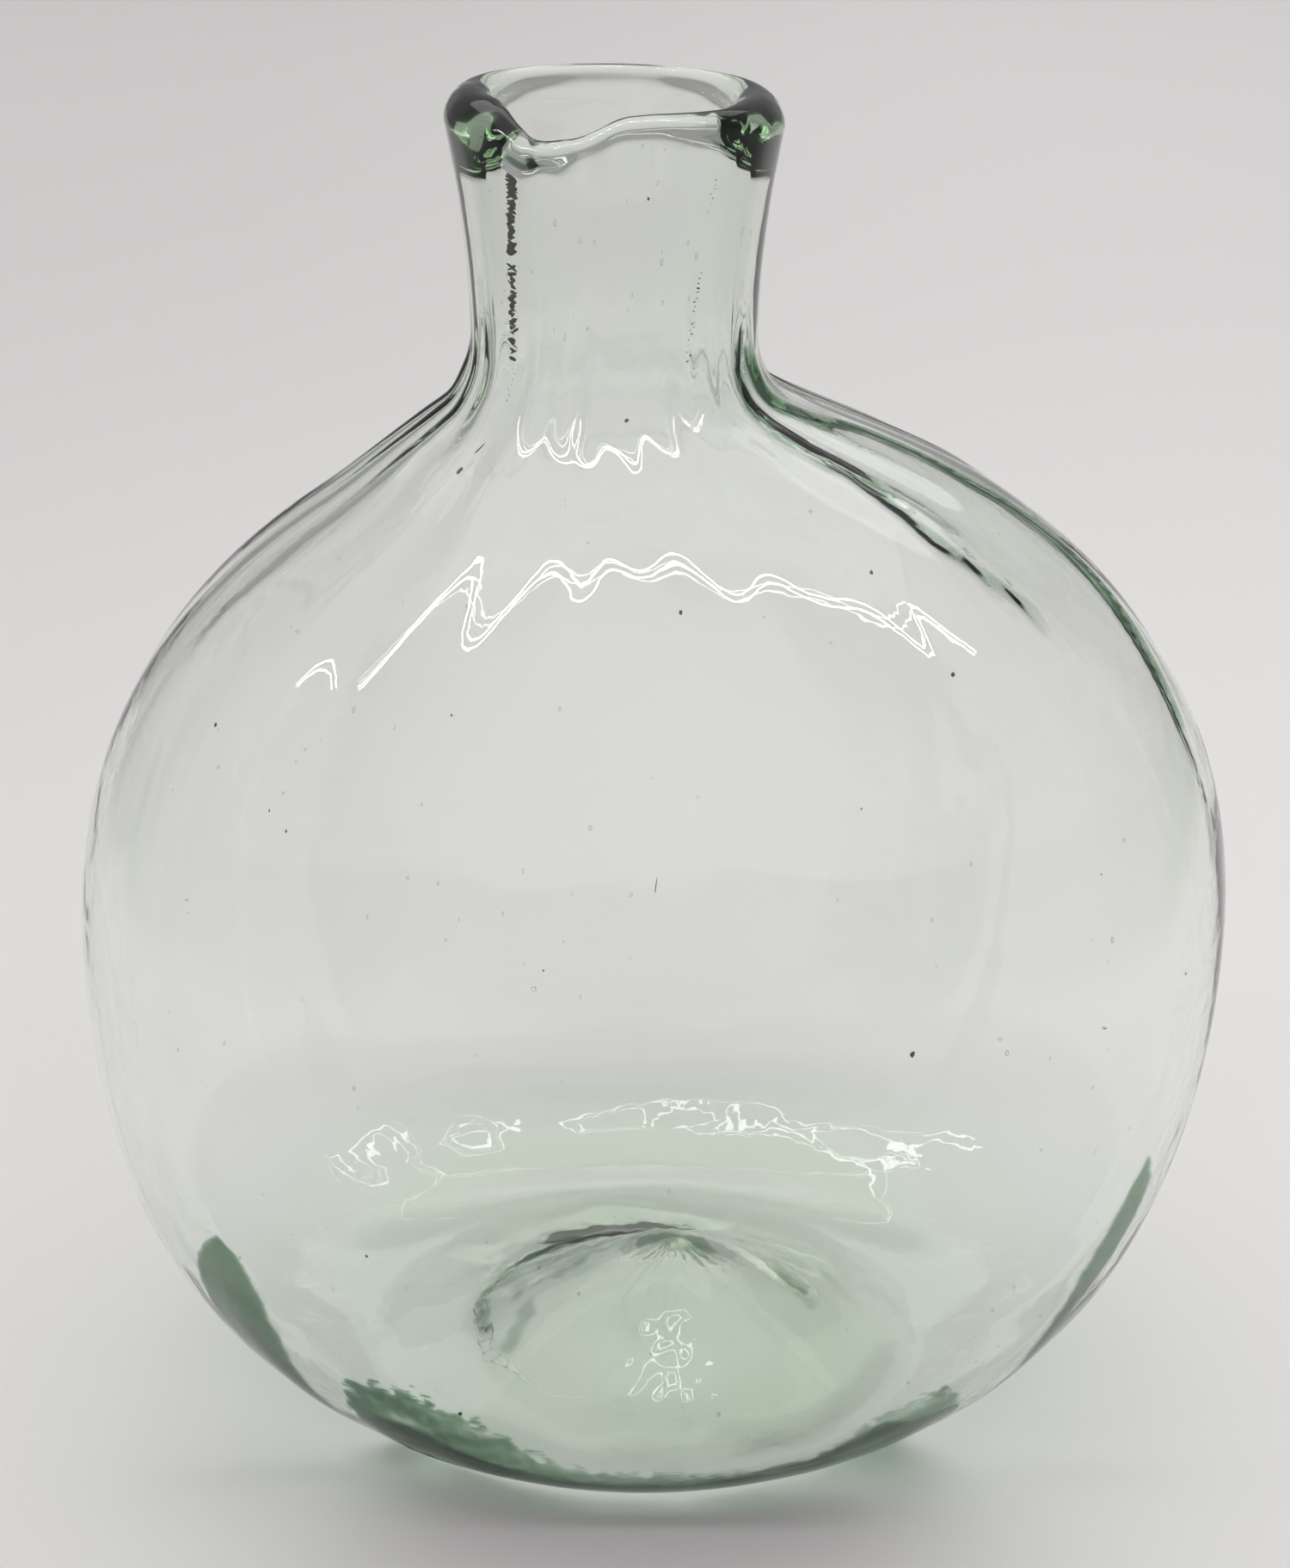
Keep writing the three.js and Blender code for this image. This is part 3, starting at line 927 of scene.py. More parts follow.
RIGHT_SHADE_CRESCENT = (
    (7, 325, 325), (9, 323.5, 325.8), (12, 321.5, 327), (16, 321.8, 327.2), (20, 322.5, 330),
    (24, 324.2, 332), (28, 326.5, 332.5), (30, 328, 331), (31.5, 329, 329),
)
LEFT_AMOUNT, RIGHT_AMOUNT = 0.64, 0.42
MIDDLE_THINNER = 0.86


def crescent(table, height, angle, ragged):
    """How far inside a crescent a place is, in millimetres."""
    heights, angle_from, angle_to = np.array(table).T
    left_edge, right_edge = np.interp(height, heights, angle_from), np.interp(height, heights, angle_to)
    inside_by = np.minimum(angle - left_edge, right_edge - angle) * HEEL_MM_PER_DEGREE
    return np.where((height > heights[0]) & (height < heights[-1]), inside_by + ragged, -1)


def heel_painted_shade():
    """Painted shade: dark green bands low on the front, the left and the right, with ragged edges."""
    height = np.arange(0.4, 33.0, 0.22)[:, None]
    angle = np.arange(207, 336, 0.32)[None, :]
    outer, inner = wall_patch(height, angle, outline[:HEEL_RINGS + SHOULDER_RINGS, 2])
    comb = outer * np.array([1.0, 1.0, 3.0])
    ragged = 0.45 * ripple(outer, 2.2, seed=61) + 0.4 * ripple(comb, 1.3, seed=62)
    places, tops = np.array(FRONT_SHADE_TOP).T
    front = np.minimum(np.interp(angle, places, tops) - height + 1.3 * ragged, (height - 0.4) / 0.6)
    front = np.where((angle > places[0]) & (angle < places[-1]), front, -1)
    long_waves = ripple(outer * np.array([0.3, 0.3, 1.0]), 2.2, seed=63)
    mottled = np.clip(0.66 + 0.36 * long_waves + 0.16 * ripple(outer, 1.5, seed=66), 0.08, 1)
    mottled = mottled * (1 - MIDDLE_THINNER * within(angle, 250, 312, 12))
    left = crescent(LEFT_SHADE_CRESCENT, height, angle, 0.25 * ragged)
    right = crescent(RIGHT_SHADE_CRESCENT, height, angle, 0.35 * ragged)
    bands = (
        np.clip(front / 0.9, -1, 1) * mottled,
        np.clip(left / 0.8, -1, 1) * LEFT_AMOUNT,
        np.clip(right / 0.8, -1, 1) * RIGHT_AMOUNT,
    )
    return body_in_wall("heel_painted_shade", outer, inner, 0.1, np.maximum.reduce(bands))


heel_shade_piece = heel_painted_shade()

# %% [markdown]
# In the base painted shade lies in green patches round the tip, with an arc over the broken scar. Each
# patch is an ellipse on a flat field, frayed by ripples, and the field is laid just above the underside.

# %% Painted shade in the base
SCAR_CENTRE = np.array([-2.8, -0.5])
SCAR_RADIUS = 13.3
BASE_SPOTS = (
    # x, y, half length, half width, turn in degrees, amount
    (0.2, 3.6, 3.6, 1.5, 8, 0.9), (4.4, 1.4, 1.5, 0.9, -20, 0.9), (-5.4, 2.4, 2.8, 1.1, 12, 0.5),
    (-6.5, 5.5, 9.5, 5.0, 8, 0.07), (13.5, 1.0, 3.2, 1.2, -50, 0.12), (-12.5, -5.5, 3.0, 1.0, 70, 0.12),
)
BASE_SHADE_THICKNESS = 0.28
BASE_SHADE_DEPTH = 0.9
ARC_HALF_WIDTH, ARC_FROM, ARC_TO, ARC_AMOUNT = 0.75, 75, 195, 0.5


def base_painted_shade():
    """Painted shade: green patches round the tip, and a dark arc over the scar where the glass lies thicker.
    """
    steps = np.arange(-19, 19, 0.3)
    y, x = np.meshgrid(steps, steps, indexing="ij")
    place = np.stack([x, y, 0 * x], axis=-1)
    amount = np.full(x.shape, -1.0)
    for middle_x, middle_y, length, width, turn, strength in BASE_SPOTS:
        c, s = math.cos(math.radians(turn)), math.sin(math.radians(turn))
        along = (x - middle_x) * c + (y - middle_y) * s
        across = -(x - middle_x) * s + (y - middle_y) * c
        ragged = 0.5 * ripple(place, 1.8, seed=64)
        spot = strength * (1 - (along / length) ** 2 - (across / width) ** 2 + ragged)
        amount = np.maximum(amount, spot)
    from_scar = np.hypot(x - SCAR_CENTRE[0], y - SCAR_CENTRE[1])
    scar_turn = np.degrees(np.arctan2(y - SCAR_CENTRE[1], x - SCAR_CENTRE[0])) % 360
    past_arc = 1.6 * (1 - within(scar_turn, ARC_FROM, ARC_TO, 14))
    arc = 1 - ((from_scar - SCAR_RADIUS) / ARC_HALF_WIDTH) ** 2 - past_arc
    amount = np.maximum(amount, ARC_AMOUNT * (arc + 0.4 * ripple(place, 2.0, seed=65)))
    middle = underside_height(x, y) + FOOT_ROUNDING + BASE_SHADE_DEPTH
    low = np.stack([x, y, middle - BASE_SHADE_THICKNESS / 2], axis=-1)
    high = np.stack([x, y, middle + BASE_SHADE_THICKNESS / 2], axis=-1)
    return body_between("base_painted_shade", low, high, amount)


base_shade_piece = base_painted_shade()

# %% [markdown]
# Along the fold two faint lines of painted shade darken the green where the wall lies thicker. They
# follow the same lists of heights and angles as the ridges do, so that the two can't drift apart.

# %% Painted shade along the fold
FOLD_SHADE_LINES = (
    # line, half width in mm, amount
    (FOLD_UPPER, 1.5, 0.06), (FOLD_LOWER, 0.9, 0.02),
)


def fold_painted_shade():
    """Painted shade along the thick green edge of the fold that runs down the right shoulder."""
    height = np.arange(62.0, 101.0, 0.3)[:, None]
    angle = np.arange(318, 372, 0.5)[None, :]
    outer, inner = wall_patch(height, angle, outside[:-1, 0, 2])
    radius = np.hypot(outer[..., 0], outer[..., 1])
    amount = np.full(radius.shape, -1.0)
    for line, half_width, strength in FOLD_SHADE_LINES:
        places, aims = np.array(line).T
        aside = (angle - np.interp(height, places, aims)) * math.pi / 180 * radius
        ends = np.minimum(height - places[0], places[-1] - height) / 3
        ragged = 0.35 * ripple(outer * np.array([0.5, 0.5, 0.5]), 2.0, seed=67)
        amount = np.maximum(amount, strength * np.minimum(1 - (aside / half_width) ** 2 + ragged, ends))
    return body_in_wall("fold_painted_shade", outer, inner, 0.12, amount)


fold_shade_piece = fold_painted_shade()

# %% [markdown]
# The rolled ends of the lip are solid glass and look dark green, so a round bar of painted shade
# follows each of them inside. Its thickness round the mouth comes from a list of angles, like that of
# the lip itself.

# %% Painted shade in the rolled ends of the lip
LIP_SHADE_ROUND = (
    # angle in degrees and how much of the lip the painted shade fills
    (0, 1.0), (18, 0.8), (32, 0.1), (45, 0), (150, 0), (160, 0.2), (172, 0.9), (188, 1.0), (200, 0.7),
    (210, 0.15), (226, 0.1), (236, 0.55), (243, 0.3), (252, 0), (318, 0), (330, 0.25), (343, 0.9),
)
LIP_SHADE_FILL, LIP_SHADE_CORNERS, LEAST_SHADE = 0.72, 16, 0.02
LIP_SHADE_DROP = 0.9


def lip_painted_shade():
    """Painted shade inside the rolled ends of the lip, as round bars of dark glass that follow it."""
    middle = (outside[-1] + inside[-1]) / 2
    across = (outside[-1] - inside[-1]) / 2
    flat = across * np.array([1.0, 1.0, 0.0])
    reach = np.linalg.norm(flat, axis=-1, keepdims=True)
    strength = round_the_mouth(LIP_SHADE_ROUND)[:, None] * LIP_SHADE_FILL
    wobble = 1 + 0.12 * ripple(middle, 5, seed=81)[:, None]
    up = np.array([0.0, 0.0, 1.0])
    bars = []
    for turn in np.arange(LIP_SHADE_CORNERS) * 2 * math.pi / LIP_SHADE_CORNERS:
        corner = flat * math.cos(turn) + up * reach * math.sin(turn)
        bars.append(middle - up * reach * LIP_SHADE_DROP + corner * strength * wobble)
    points = np.stack(bars, axis=1).reshape(-1, 3)
    faces = []
    for place in np.flatnonzero(strength[:, 0] > LEAST_SHADE):
        here, after = place * LIP_SHADE_CORNERS, (place + 1) % AROUND * LIP_SHADE_CORNERS
        for corner in range(LIP_SHADE_CORNERS):
            beside = (corner + 1) % LIP_SHADE_CORNERS
            faces.append((here + corner, after + corner, after + beside, here + beside))
    return close_up(add_piece("lip_painted_shade", points, faces), capped=True, turned_out=True)


lip_shade_piece = lip_painted_shade()

# %% Fit the bodies of painted shade
painted_shade_bodies = (
    (heel_shade_piece, heel_shade_glass), (base_shade_piece, heel_shade_glass),
    (fold_shade_piece, heel_shade_glass), (lip_shade_piece, lip_shade_glass),
)
for shade_body, green in painted_shade_bodies:
    shade_body.data.materials.append(green)
    shade_body.visible_shadow = False
    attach(shade_body, "root")

# %% [markdown]
# The pontil scar is the glass that stayed when the rod was snapped off: a broken ring, sharp and uneven,
# strong on the left and behind, and almost nothing at the front. A torus would be even all round, so the
# ring is a run of small closed sections whose width, depth and radius wander, with flat faces that
# catch the light as a break does. Its surface is rough, unlike the rest of the bottle.

# %% Pontil scar
SCAR_STEPS, SCAR_CORNERS = 360, 10
SCAR_FROM, SCAR_TO = 35.0, 262.0
SCAR_DROP = 0.2
SCAR_HALF_WIDTH, SCAR_DEPTH = 0.6, 0.25
SCAR_STRONGEST, SCAR_SPREAD = 175, 50
SCAR_ROUGHNESS, SCAR_WAVE_STRENGTH = 0.2, 0.3


def pontil_scar_piece():
    """The broken ring, just under the base."""
    turn = np.radians(np.linspace(SCAR_FROM, SCAR_TO, SCAR_STEPS))
    on_circle = np.stack([np.cos(turn), np.sin(turn), 0 * turn], axis=-1)
    strong = 0.12 + 0.88 * bell(turned(np.degrees(turn), SCAR_STRONGEST), SCAR_SPREAD, 4)
    ends = np.sin(np.pi * np.linspace(0, 1, SCAR_STEPS)) ** 0.25
    ring = on_circle * SCAR_RADIUS
    jagged = ripple(ring, 2.6, seed=71) + 0.6 * ripple(ring, 1.1, seed=72)
    half_width = SCAR_HALF_WIDTH * strong * ends * (1 + 0.22 * jagged)
    depth = SCAR_DEPTH * strong * ends * (1 + 0.25 * ripple(ring, 1.4, seed=73))
    radius = SCAR_RADIUS + 0.35 * ripple(ring, 7.0, seed=74)
    rows = []
    for corner in range(SCAR_CORNERS):
        turned_by = 2 * math.pi * corner / SCAR_CORNERS
        reach = radius + half_width * math.cos(turned_by)
        x = SCAR_CENTRE[0] + reach * np.cos(turn)
        y = SCAR_CENTRE[1] + reach * np.sin(turn)
        below = depth * (1 - math.sin(turned_by)) / 2
        rough = 0.14 * ripple(np.stack([x, y, below], axis=-1), 0.9, seed=75) * below
        z = underside_height(x, y) + FOOT_ROUNDING - SCAR_DROP - below + rough
        rows.append(np.stack([x, y, z], axis=-1))
    points = np.array(rows).transpose(1, 0, 2).reshape(-1, 3)
    faces = ring_faces(SCAR_STEPS, SCAR_CORNERS)
    last = (SCAR_STEPS - 1) * SCAR_CORNERS
    faces.append(tuple(range(SCAR_CORNERS))[::-1])
    faces.append(tuple(range(last, last + SCAR_CORNERS)))
    piece = add_piece("broken_scar", points, faces, smooth=False)
    return close_up(piece, merged=False, turned_out=True)


scar = pontil_scar_piece()
rough_glass = bottle_glass_material("broken_green_glass", SCAR_ROUGHNESS, SCAR_WAVE_STRENGTH)
scar.data.materials.append(rough_glass)
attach(scar, "root")
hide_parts("pontil_scar")

# %% [markdown]
# Old glass holds seeds: tiny bubbles that never rose out of the melt, drawn long where the wall was
# stretched. There are hundreds, spread over a curved wall, and that is what Geometry Nodes are for. The
# tree scatters points over a sheet in the middle of the wall, and puts a small squashed ball on each,
# turned so that its long side runs up the bottle. It ends in Realize Instances and Set Material.

# %% Air in the glass
AIR_CLOUDS_PER_METRE = 2400.0  # A cloud is about 0.4 mm wide.
AIR_DARK_FROM, AIR_DARK_TO = 0.10, 0.42


def air_material():
    """Air in glass: clear in the middle, dark at the rim where light is turned away."""
    material, tree, place = new_material("air_in_glass")
    cloud = add_node(tree, "ShaderNodeTexNoise", {
        "Vector": place, "Scale": AIR_CLOUDS_PER_METRE, "Detail": 1.0,
    })
    facing = add_node(tree, "ShaderNodeLayerWeight", {"Blend": 0.55}).outputs["Facing"]
    rim = add_node(tree, "ShaderNodeMath", {0: facing, 1: cloud}, operation="MULTIPLY")
    dark = add_node(tree, "ShaderNodeMapRange", {
        "Value": rim, "From Min": AIR_DARK_FROM, "From Max": AIR_DARK_TO,
    })
    skin_of_air = add_node(tree, "ShaderNodeBsdfPrincipled", {
        "Base Color": linear("6f7a70"), "Roughness": 0.25, "IOR": 1.33,
    })
    through = add_node(tree, "ShaderNodeBsdfTransparent", {"Color": linear("ffffff")})
    surface = add_node(tree, "ShaderNodeMixShader", {"Fac": dark, 1: through, 2: skin_of_air})
    add_node(tree, "ShaderNodeOutputMaterial", {"Surface": surface})
    return material

# %% Tree that scatters bubbles
BUBBLE_INPUTS = (
    ("Bubbles per Square Metre", "NodeSocketFloat", 5000.0),
    ("Seed", "NodeSocketInt", 1),
    ("Smallest", "NodeSocketFloat", 0.00005),
    ("Largest", "NodeSocketFloat", 0.00016),
    ("Longest Stretch", "NodeSocketFloat", 2.5),
)
BALL_SEGMENTS, BALL_RINGS = 8, 5
BALL_CORNERS = BALL_SEGMENTS * (BALL_RINGS - 1) + 2
BALL_FLATNESS = 0.7


def bubble_tree(material):
    """Scatters squashed balls over a sheet. Sizes are in metres."""
    tree = bpy.data.node_groups.new("bubbles_in_a_wall", "GeometryNodeTree")
    tree.interface.new_socket("Geometry", in_out="INPUT", socket_type="NodeSocketGeometry")
    for name, kind, value in BUBBLE_INPUTS:
        socket = tree.interface.new_socket(name, in_out="INPUT", socket_type=kind)
        socket.default_value = value
    tree.interface.new_socket("Geometry", in_out="OUTPUT", socket_type="NodeSocketGeometry")
    given = add_node(tree, "NodeGroupInput").outputs
    scatter = add_node(tree, "GeometryNodeDistributePointsOnFaces", {
        "Mesh": given["Geometry"], "Density": given["Bubbles per Square Metre"], "Seed": given["Seed"],
    })
    ball = add_node(tree, "GeometryNodeMeshUVSphere", {
        "Segments": BALL_SEGMENTS, "Rings": BALL_RINGS, "Radius": 1.0,
    })
    size = add_node(tree, "FunctionNodeRandomValue", {
        "Min": given["Smallest"], "Max": given["Largest"], "Seed": given["Seed"],
    }, data_type="FLOAT").outputs["Value"]
    stretch = add_node(tree, "FunctionNodeRandomValue", {
        "Min": 1.0, "Max": given["Longest Stretch"], "Seed": 7,
    }, data_type="FLOAT").outputs["Value"]
    length = add_node(tree, "ShaderNodeMath", {0: size, 1: stretch}, operation="MULTIPLY")
    flat = add_node(tree, "ShaderNodeMath", {0: size, 1: BALL_FLATNESS}, operation="MULTIPLY")
    shape = add_node(tree, "ShaderNodeCombineXYZ", {"X": size, "Y": length, "Z": flat})
    upright_turn = add_node(tree, "FunctionNodeAlignRotationToVector", {
        "Rotation": scatter.outputs["Rotation"], "Vector": (0.0, 0.0, 1.0),
    }, axis="Y", pivot_axis="Z")
    placed = add_node(tree, "GeometryNodeInstanceOnPoints", {
        "Points": scatter.outputs["Points"], "Instance": ball.outputs["Mesh"],
        "Rotation": upright_turn, "Scale": shape,
    })
    real = add_node(tree, "GeometryNodeRealizeInstances", {"Geometry": placed})
    finished = add_node(tree, "GeometryNodeSetMaterial", {"Geometry": real, "Material": material})
    add_node(tree, "NodeGroupOutput", {"Geometry": finished})
    return tree


bubbles = bubble_tree(air_material())
print("bubble tree: %d nodes" % len(bubbles.nodes))

# %% Seeds in the wall
BUBBLE_FIELDS = (
    # name, lowest, highest, bubbles per square metre, seed, smallest, largest, longest stretch
    ("belly_seeds", 10, 96, 6500.0, 11, 0.00005, 0.00015, 2.2),
    ("heel_seeds", 6, 34, 9000.0, 12, 0.00006, 0.00018, 1.8),
    ("neck_seeds", 97, 113, 42000.0, 13, 0.00005, 0.00013, 3.5),
)


def wall_sheet(name, lowest, highest):
    """A sheet in the middle of the wall between two heights."""
    middle = (outside + inside) / 2
    rows = np.flatnonzero((outline[:, 2] >= lowest) & (outline[:, 2] <= highest))
    sheet = middle[rows][:, ::2]
    faces = ring_faces(len(rows), sheet.shape[1])
    return add_piece(name, sheet.reshape(-1, 3), faces, smooth=False)


def scatter_bubbles(tree, name, lowest, highest, values):
    """Runs the tree on a sheet of the wall and keeps the result as a plain mesh."""
    piece = wall_sheet(name, lowest, highest)
    modifier = piece.modifiers.new("bubbles", "NODES")
    modifier.node_group = tree
    for given, value in zip(BUBBLE_INPUTS, values):
        modifier[tree.interface.items_tree[given[0]].identifier] = value
    evaluated = piece.evaluated_get(bpy.context.evaluated_depsgraph_get())
    mesh = bpy.data.meshes.new_from_object(evaluated)
    piece.modifiers.remove(modifier)
    piece.data = mesh
    mesh.shade_smooth()
    print("%s: %d bubbles" % (name, len(mesh.vertices) // BALL_CORNERS))
    return piece


for name, lowest, highest, *values in BUBBLE_FIELDS:
    seeds = scatter_bubbles(bubbles, name, lowest, highest, values)
    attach(seeds, "root")

# %% [markdown]
# The melt also held dark stones, crumbs of the pot and of sand that never melted, and flakes of scale
# run down two seams of the neck. The larger ones are put where they sit on this bottle, which a random
# scatter can't do. Each is a small ball of few faces with its corners pushed in and out. Stone is dull,
# so it is a rough brown-grey with a fine grain.

# %% Stones and scale
STONES = (
    # angle in degrees, height, length, width, lean in degrees
    (222, 91.8, 0.55, 0.28, 20), (223, 93.4, 0.9, 0.14, 25), (275, 96.5, 0.30, 0.20, 40),
    (273, 84.6, 0.28, 0.22, 0), (214, 72.1, 0.28, 0.24, 0), (308, 78.5, 0.28, 0.26, 30),
    (306, 85.9, 0.35, 0.25, 10), (242, 29.1, 0.22, 0.18, 0), (254, 23.2, 0.24, 0.16, 0),
    (193, 30.2, 1.9, 0.28, -12), (192, 33.0, 0.8, 0.22, -10), (332, 48.5, 0.24, 0.16, 0),
    (294, 49.3, 0.42, 0.32, 20), (249, 12.6, 0.40, 0.26, 30), (270, 65.0, 1.1, 0.06, 8),
    (228, 67.5, 0.20, 0.12, 0), (231, 66.3, 0.24, 0.12, 0), (283, 114, 0.22, 0.14, 0),
    (260, 58.0, 0.16, 0.12, 0), (246, 77.0, 0.14, 0.12, 0), (291, 70.0, 0.14, 0.10, 0),
    (318, 61.0, 0.16, 0.12, 0),
)
SCALE_LINES = (
    # angle and height at the start, angle and height at the end, flakes, half width
    (233.5, 115.4, 229.0, 109.0, 44, 0.62), (228.8, 108.0, 226.0, 100.5, 36, 0.55),
    (308.5, 115.0, 307.5, 112.0, 9, 0.12), (305.5, 107.5, 303.0, 104.5, 9, 0.18),
    (302.0, 103.5, 301.0, 100.5, 8, 0.16), (226.5, 99.5, 225.0, 97.0, 7, 0.12),
)
STONE_SEED = 91
GRAIN_SIZE = 1.5
GRAIN_THICKNESS = 0.12
GRAIN_PLACE = 0.55


def wall_place(angle, height):
    """The middle of the wall at an angle and a height, with the directions along, up and out there."""
    column = np.array([np.interp(angle, degrees, np.arange(AROUND))])
    heights = outside[:, int(round(column[0])) % AROUND, 2] - FOOT_ROUNDING
    ring = np.array([np.interp(height, heights[:-1], np.arange(len(heights) - 1))])
    outer, inner = skin_at(outside, ring, column)[0], skin_at(inside, ring, column)[0]
    out = (outer - inner) / np.linalg.norm(outer - inner)
    along = np.cross([0.0, 0.0, 1.0], out)
    along /= np.linalg.norm(along)
    return between(inner, outer, GRAIN_PLACE), along, np.cross(out, along), out


def stones_and_scale():
    """All grains as one mesh of small uneven balls."""
    random = np.random.default_rng(STONE_SEED)
    grains = list(STONES)
    for start_angle, start_height, end_angle, end_height, count, half_width in SCALE_LINES:
        for share in np.linspace(0, 1, count):
            share = share + random.normal(0, 0.02)
            angle = between(start_angle, end_angle, share) + random.normal(0, 0.5)
            height = between(start_height, end_height, share)
            grains.append((angle, height, half_width * random.uniform(0.5, 1.6),
                           half_width * random.uniform(0.2, 0.6), random.uniform(50, 130)))
    shape = bmesh.new()
    for angle, height, length, width, lean in grains:
        middle, along, up, out = wall_place(angle, height)
        length, width = length * GRAIN_SIZE, width * GRAIN_SIZE
        ball = bmesh.ops.create_icosphere(shape, subdivisions=1, radius=1.0)
        turn = math.radians(lean)
        long_way = up * math.cos(turn) + along * math.sin(turn)
        short_way = along * math.cos(turn) - up * math.sin(turn)
        for corner in ball["verts"]:
            uneven = random.uniform(0.75, 1.25)
            x, y, z = corner.co
            reach = short_way * x * width + long_way * y * length + out * z * GRAIN_THICKNESS
            corner.co = (middle + reach * uneven / 2) * MM
    mesh = bpy.data.meshes.new("stones_and_scale")
    shape.to_mesh(mesh)
    shape.free()
    piece = bpy.data.objects.new("stones_and_scale", mesh)
    scene.collection.objects.link(piece)
    print("stones and scale: %d grains" % len(grains))
    return piece


stones = stones_and_scale()

# %% Dark stone
STONE_GRAINS_PER_METRE = 1800.0  # A grain is about 0.6 mm wide.
STONE_GRAIN_HEIGHT = 0.1 * MM


def stone_material():
    """Dull brown-grey stone with a fine grain."""
    material, tree, place = new_material("dark_stone_in_glass")
    grain, normal = waviness(tree, place, STONE_GRAINS_PER_METRE, 3.0, 0.4, STONE_GRAIN_HEIGHT)
    colour = add_node(tree, "ShaderNodeMix", {
        "Factor": grain, "A": linear("2a2a26"), "B": linear("6d6a5e"),
    }, data_type="RGBA")
    stone = add_node(tree, "ShaderNodeBsdfPrincipled", {
        "Base Color": colour.outputs["Result"], "Roughness": 0.7, "IOR": 1.5, "Normal": normal,
    })
    add_node(tree, "ShaderNodeOutputMaterial", {"Surface": stone})
    return material


stones.data.materials.append(stone_material())
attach(stones, "root")

# %% [markdown]
# The bottle stands on a sheet of pale paper. Its colour holds painted light: it is a little lighter to
# the right, where more light falls. What lies past its front and sides is out of the picture, but the
# glass shows it, so every ray except the camera's own finds a darker table there. That dark edge is
# what draws the outlines of clear glass.

# %% Paper and table
PAPER_LEFT_LESS_LIT, PAPER_RIGHT_PAINTED_LIGHT = linear("dad7d7"), linear("e3e0e0")
TABLE_COLOUR = linear("a4a6a2")
PAPER_HALF_SPAN = 0.15
PAPER_FRONT = (-0.15, -0.22)
PAPER_SIDE = (0.17, 0.24)
PAPER_WIDENS = 0.4
PAPER_DROP = 0.00005
PAPER_REACH_MM = 2500.0


def past_paper(tree, axes):
    """0 on the sheet, 1 past its front edge or its sides, which stand wider apart towards the back."""
    aside = add_node(tree, "ShaderNodeMath", {0: axes["X"]}, operation="ABSOLUTE")
    widened = add_node(tree, "ShaderNodeMath", {0: axes["Y"], 1: -PAPER_WIDENS, 2: aside},
                       operation="MULTIPLY_ADD")
    past_front = add_node(tree, "ShaderNodeMapRange", {
        "Value": axes["Y"], "From Min": PAPER_FRONT[0], "From Max": PAPER_FRONT[1],
    })
    past_side = add_node(tree, "ShaderNodeMapRange", {
        "Value": widened, "From Min": PAPER_SIDE[0], "From Max": PAPER_SIDE[1],
    })
    return add_node(tree, "ShaderNodeMath", {0: past_front, 1: past_side}, operation="MAXIMUM")


def paper_material():
    """Matt paper painted lighter to the right as painted light, with the table past its edges for all rays
    but the camera's own.
    """
    material, tree, place = new_material("pale_paper")
    axes = add_node(tree, "ShaderNodeSeparateXYZ", {"Vector": place}).outputs
    # Painted light: the paper's colour grows lighter towards the right.
    painted_light_to_right = add_node(tree, "ShaderNodeMapRange", {
        "Value": axes["X"], "From Min": -PAPER_HALF_SPAN, "From Max": PAPER_HALF_SPAN,
    }, interpolation_type="SMOOTHSTEP")
    colour = add_node(tree, "ShaderNodeMix", {
        "Factor": painted_light_to_right, "A": PAPER_LEFT_LESS_LIT, "B": PAPER_RIGHT_PAINTED_LIGHT,
    }, data_type="RGBA")
    seen = add_node(tree, "ShaderNodeLightPath").outputs["Is Camera Ray"]
    unseen = add_node(tree, "ShaderNodeMath", {0: 1.0, 1: seen}, operation="SUBTRACT")
    on_table = add_node(tree, "ShaderNodeMath", {
        0: past_paper(tree, axes), 1: unseen,
    }, operation="MULTIPLY")
    ground = add_node(tree, "ShaderNodeMix", {
        "Factor": on_table, "A": colour.outputs["Result"], "B": TABLE_COLOUR,
    }, data_type="RGBA")
    paper = add_node(tree, "ShaderNodeBsdfDiffuse", {"Color": ground.outputs["Result"]})
    add_node(tree, "ShaderNodeOutputMaterial", {"Surface": paper})
    return material


corners = np.array([(-1, -1, 0), (1, -1, 0), (1, 1, 0), (-1, 1, 0)]) * PAPER_REACH_MM
corners[:, 2] -= PAPER_DROP / MM
floor = add_piece("paper_floor", corners, [(0, 1, 2, 3)], smooth=False)
floor.data.materials.append(paper_material())

# %% [markdown]
# The light is a tent: pale walls, bright on the camera's side and dimmer behind the bottle, and white
# overhead. Those brightnesses only show in the glass. The paper is lit evenly by the same world. The
# world is a node tree like a material, and Light Path tells it which kind of ray is asking.

# %% Light tent
BACKDROP_COLOUR = linear("d6d4d6")
TENT_LIGHT = 0.50
ROOF_FROM, ROOF_FULL = 0.50, 0.85
TENT_ROUND = (
    # share of the way from the camera's side (0) round to the back wall (1), and brightness there
    (0.0, 0.90), (0.12, 0.80), (0.28, 0.50), (0.60, 0.42), (0.80, 0.42), (1.0, 0.45),
)


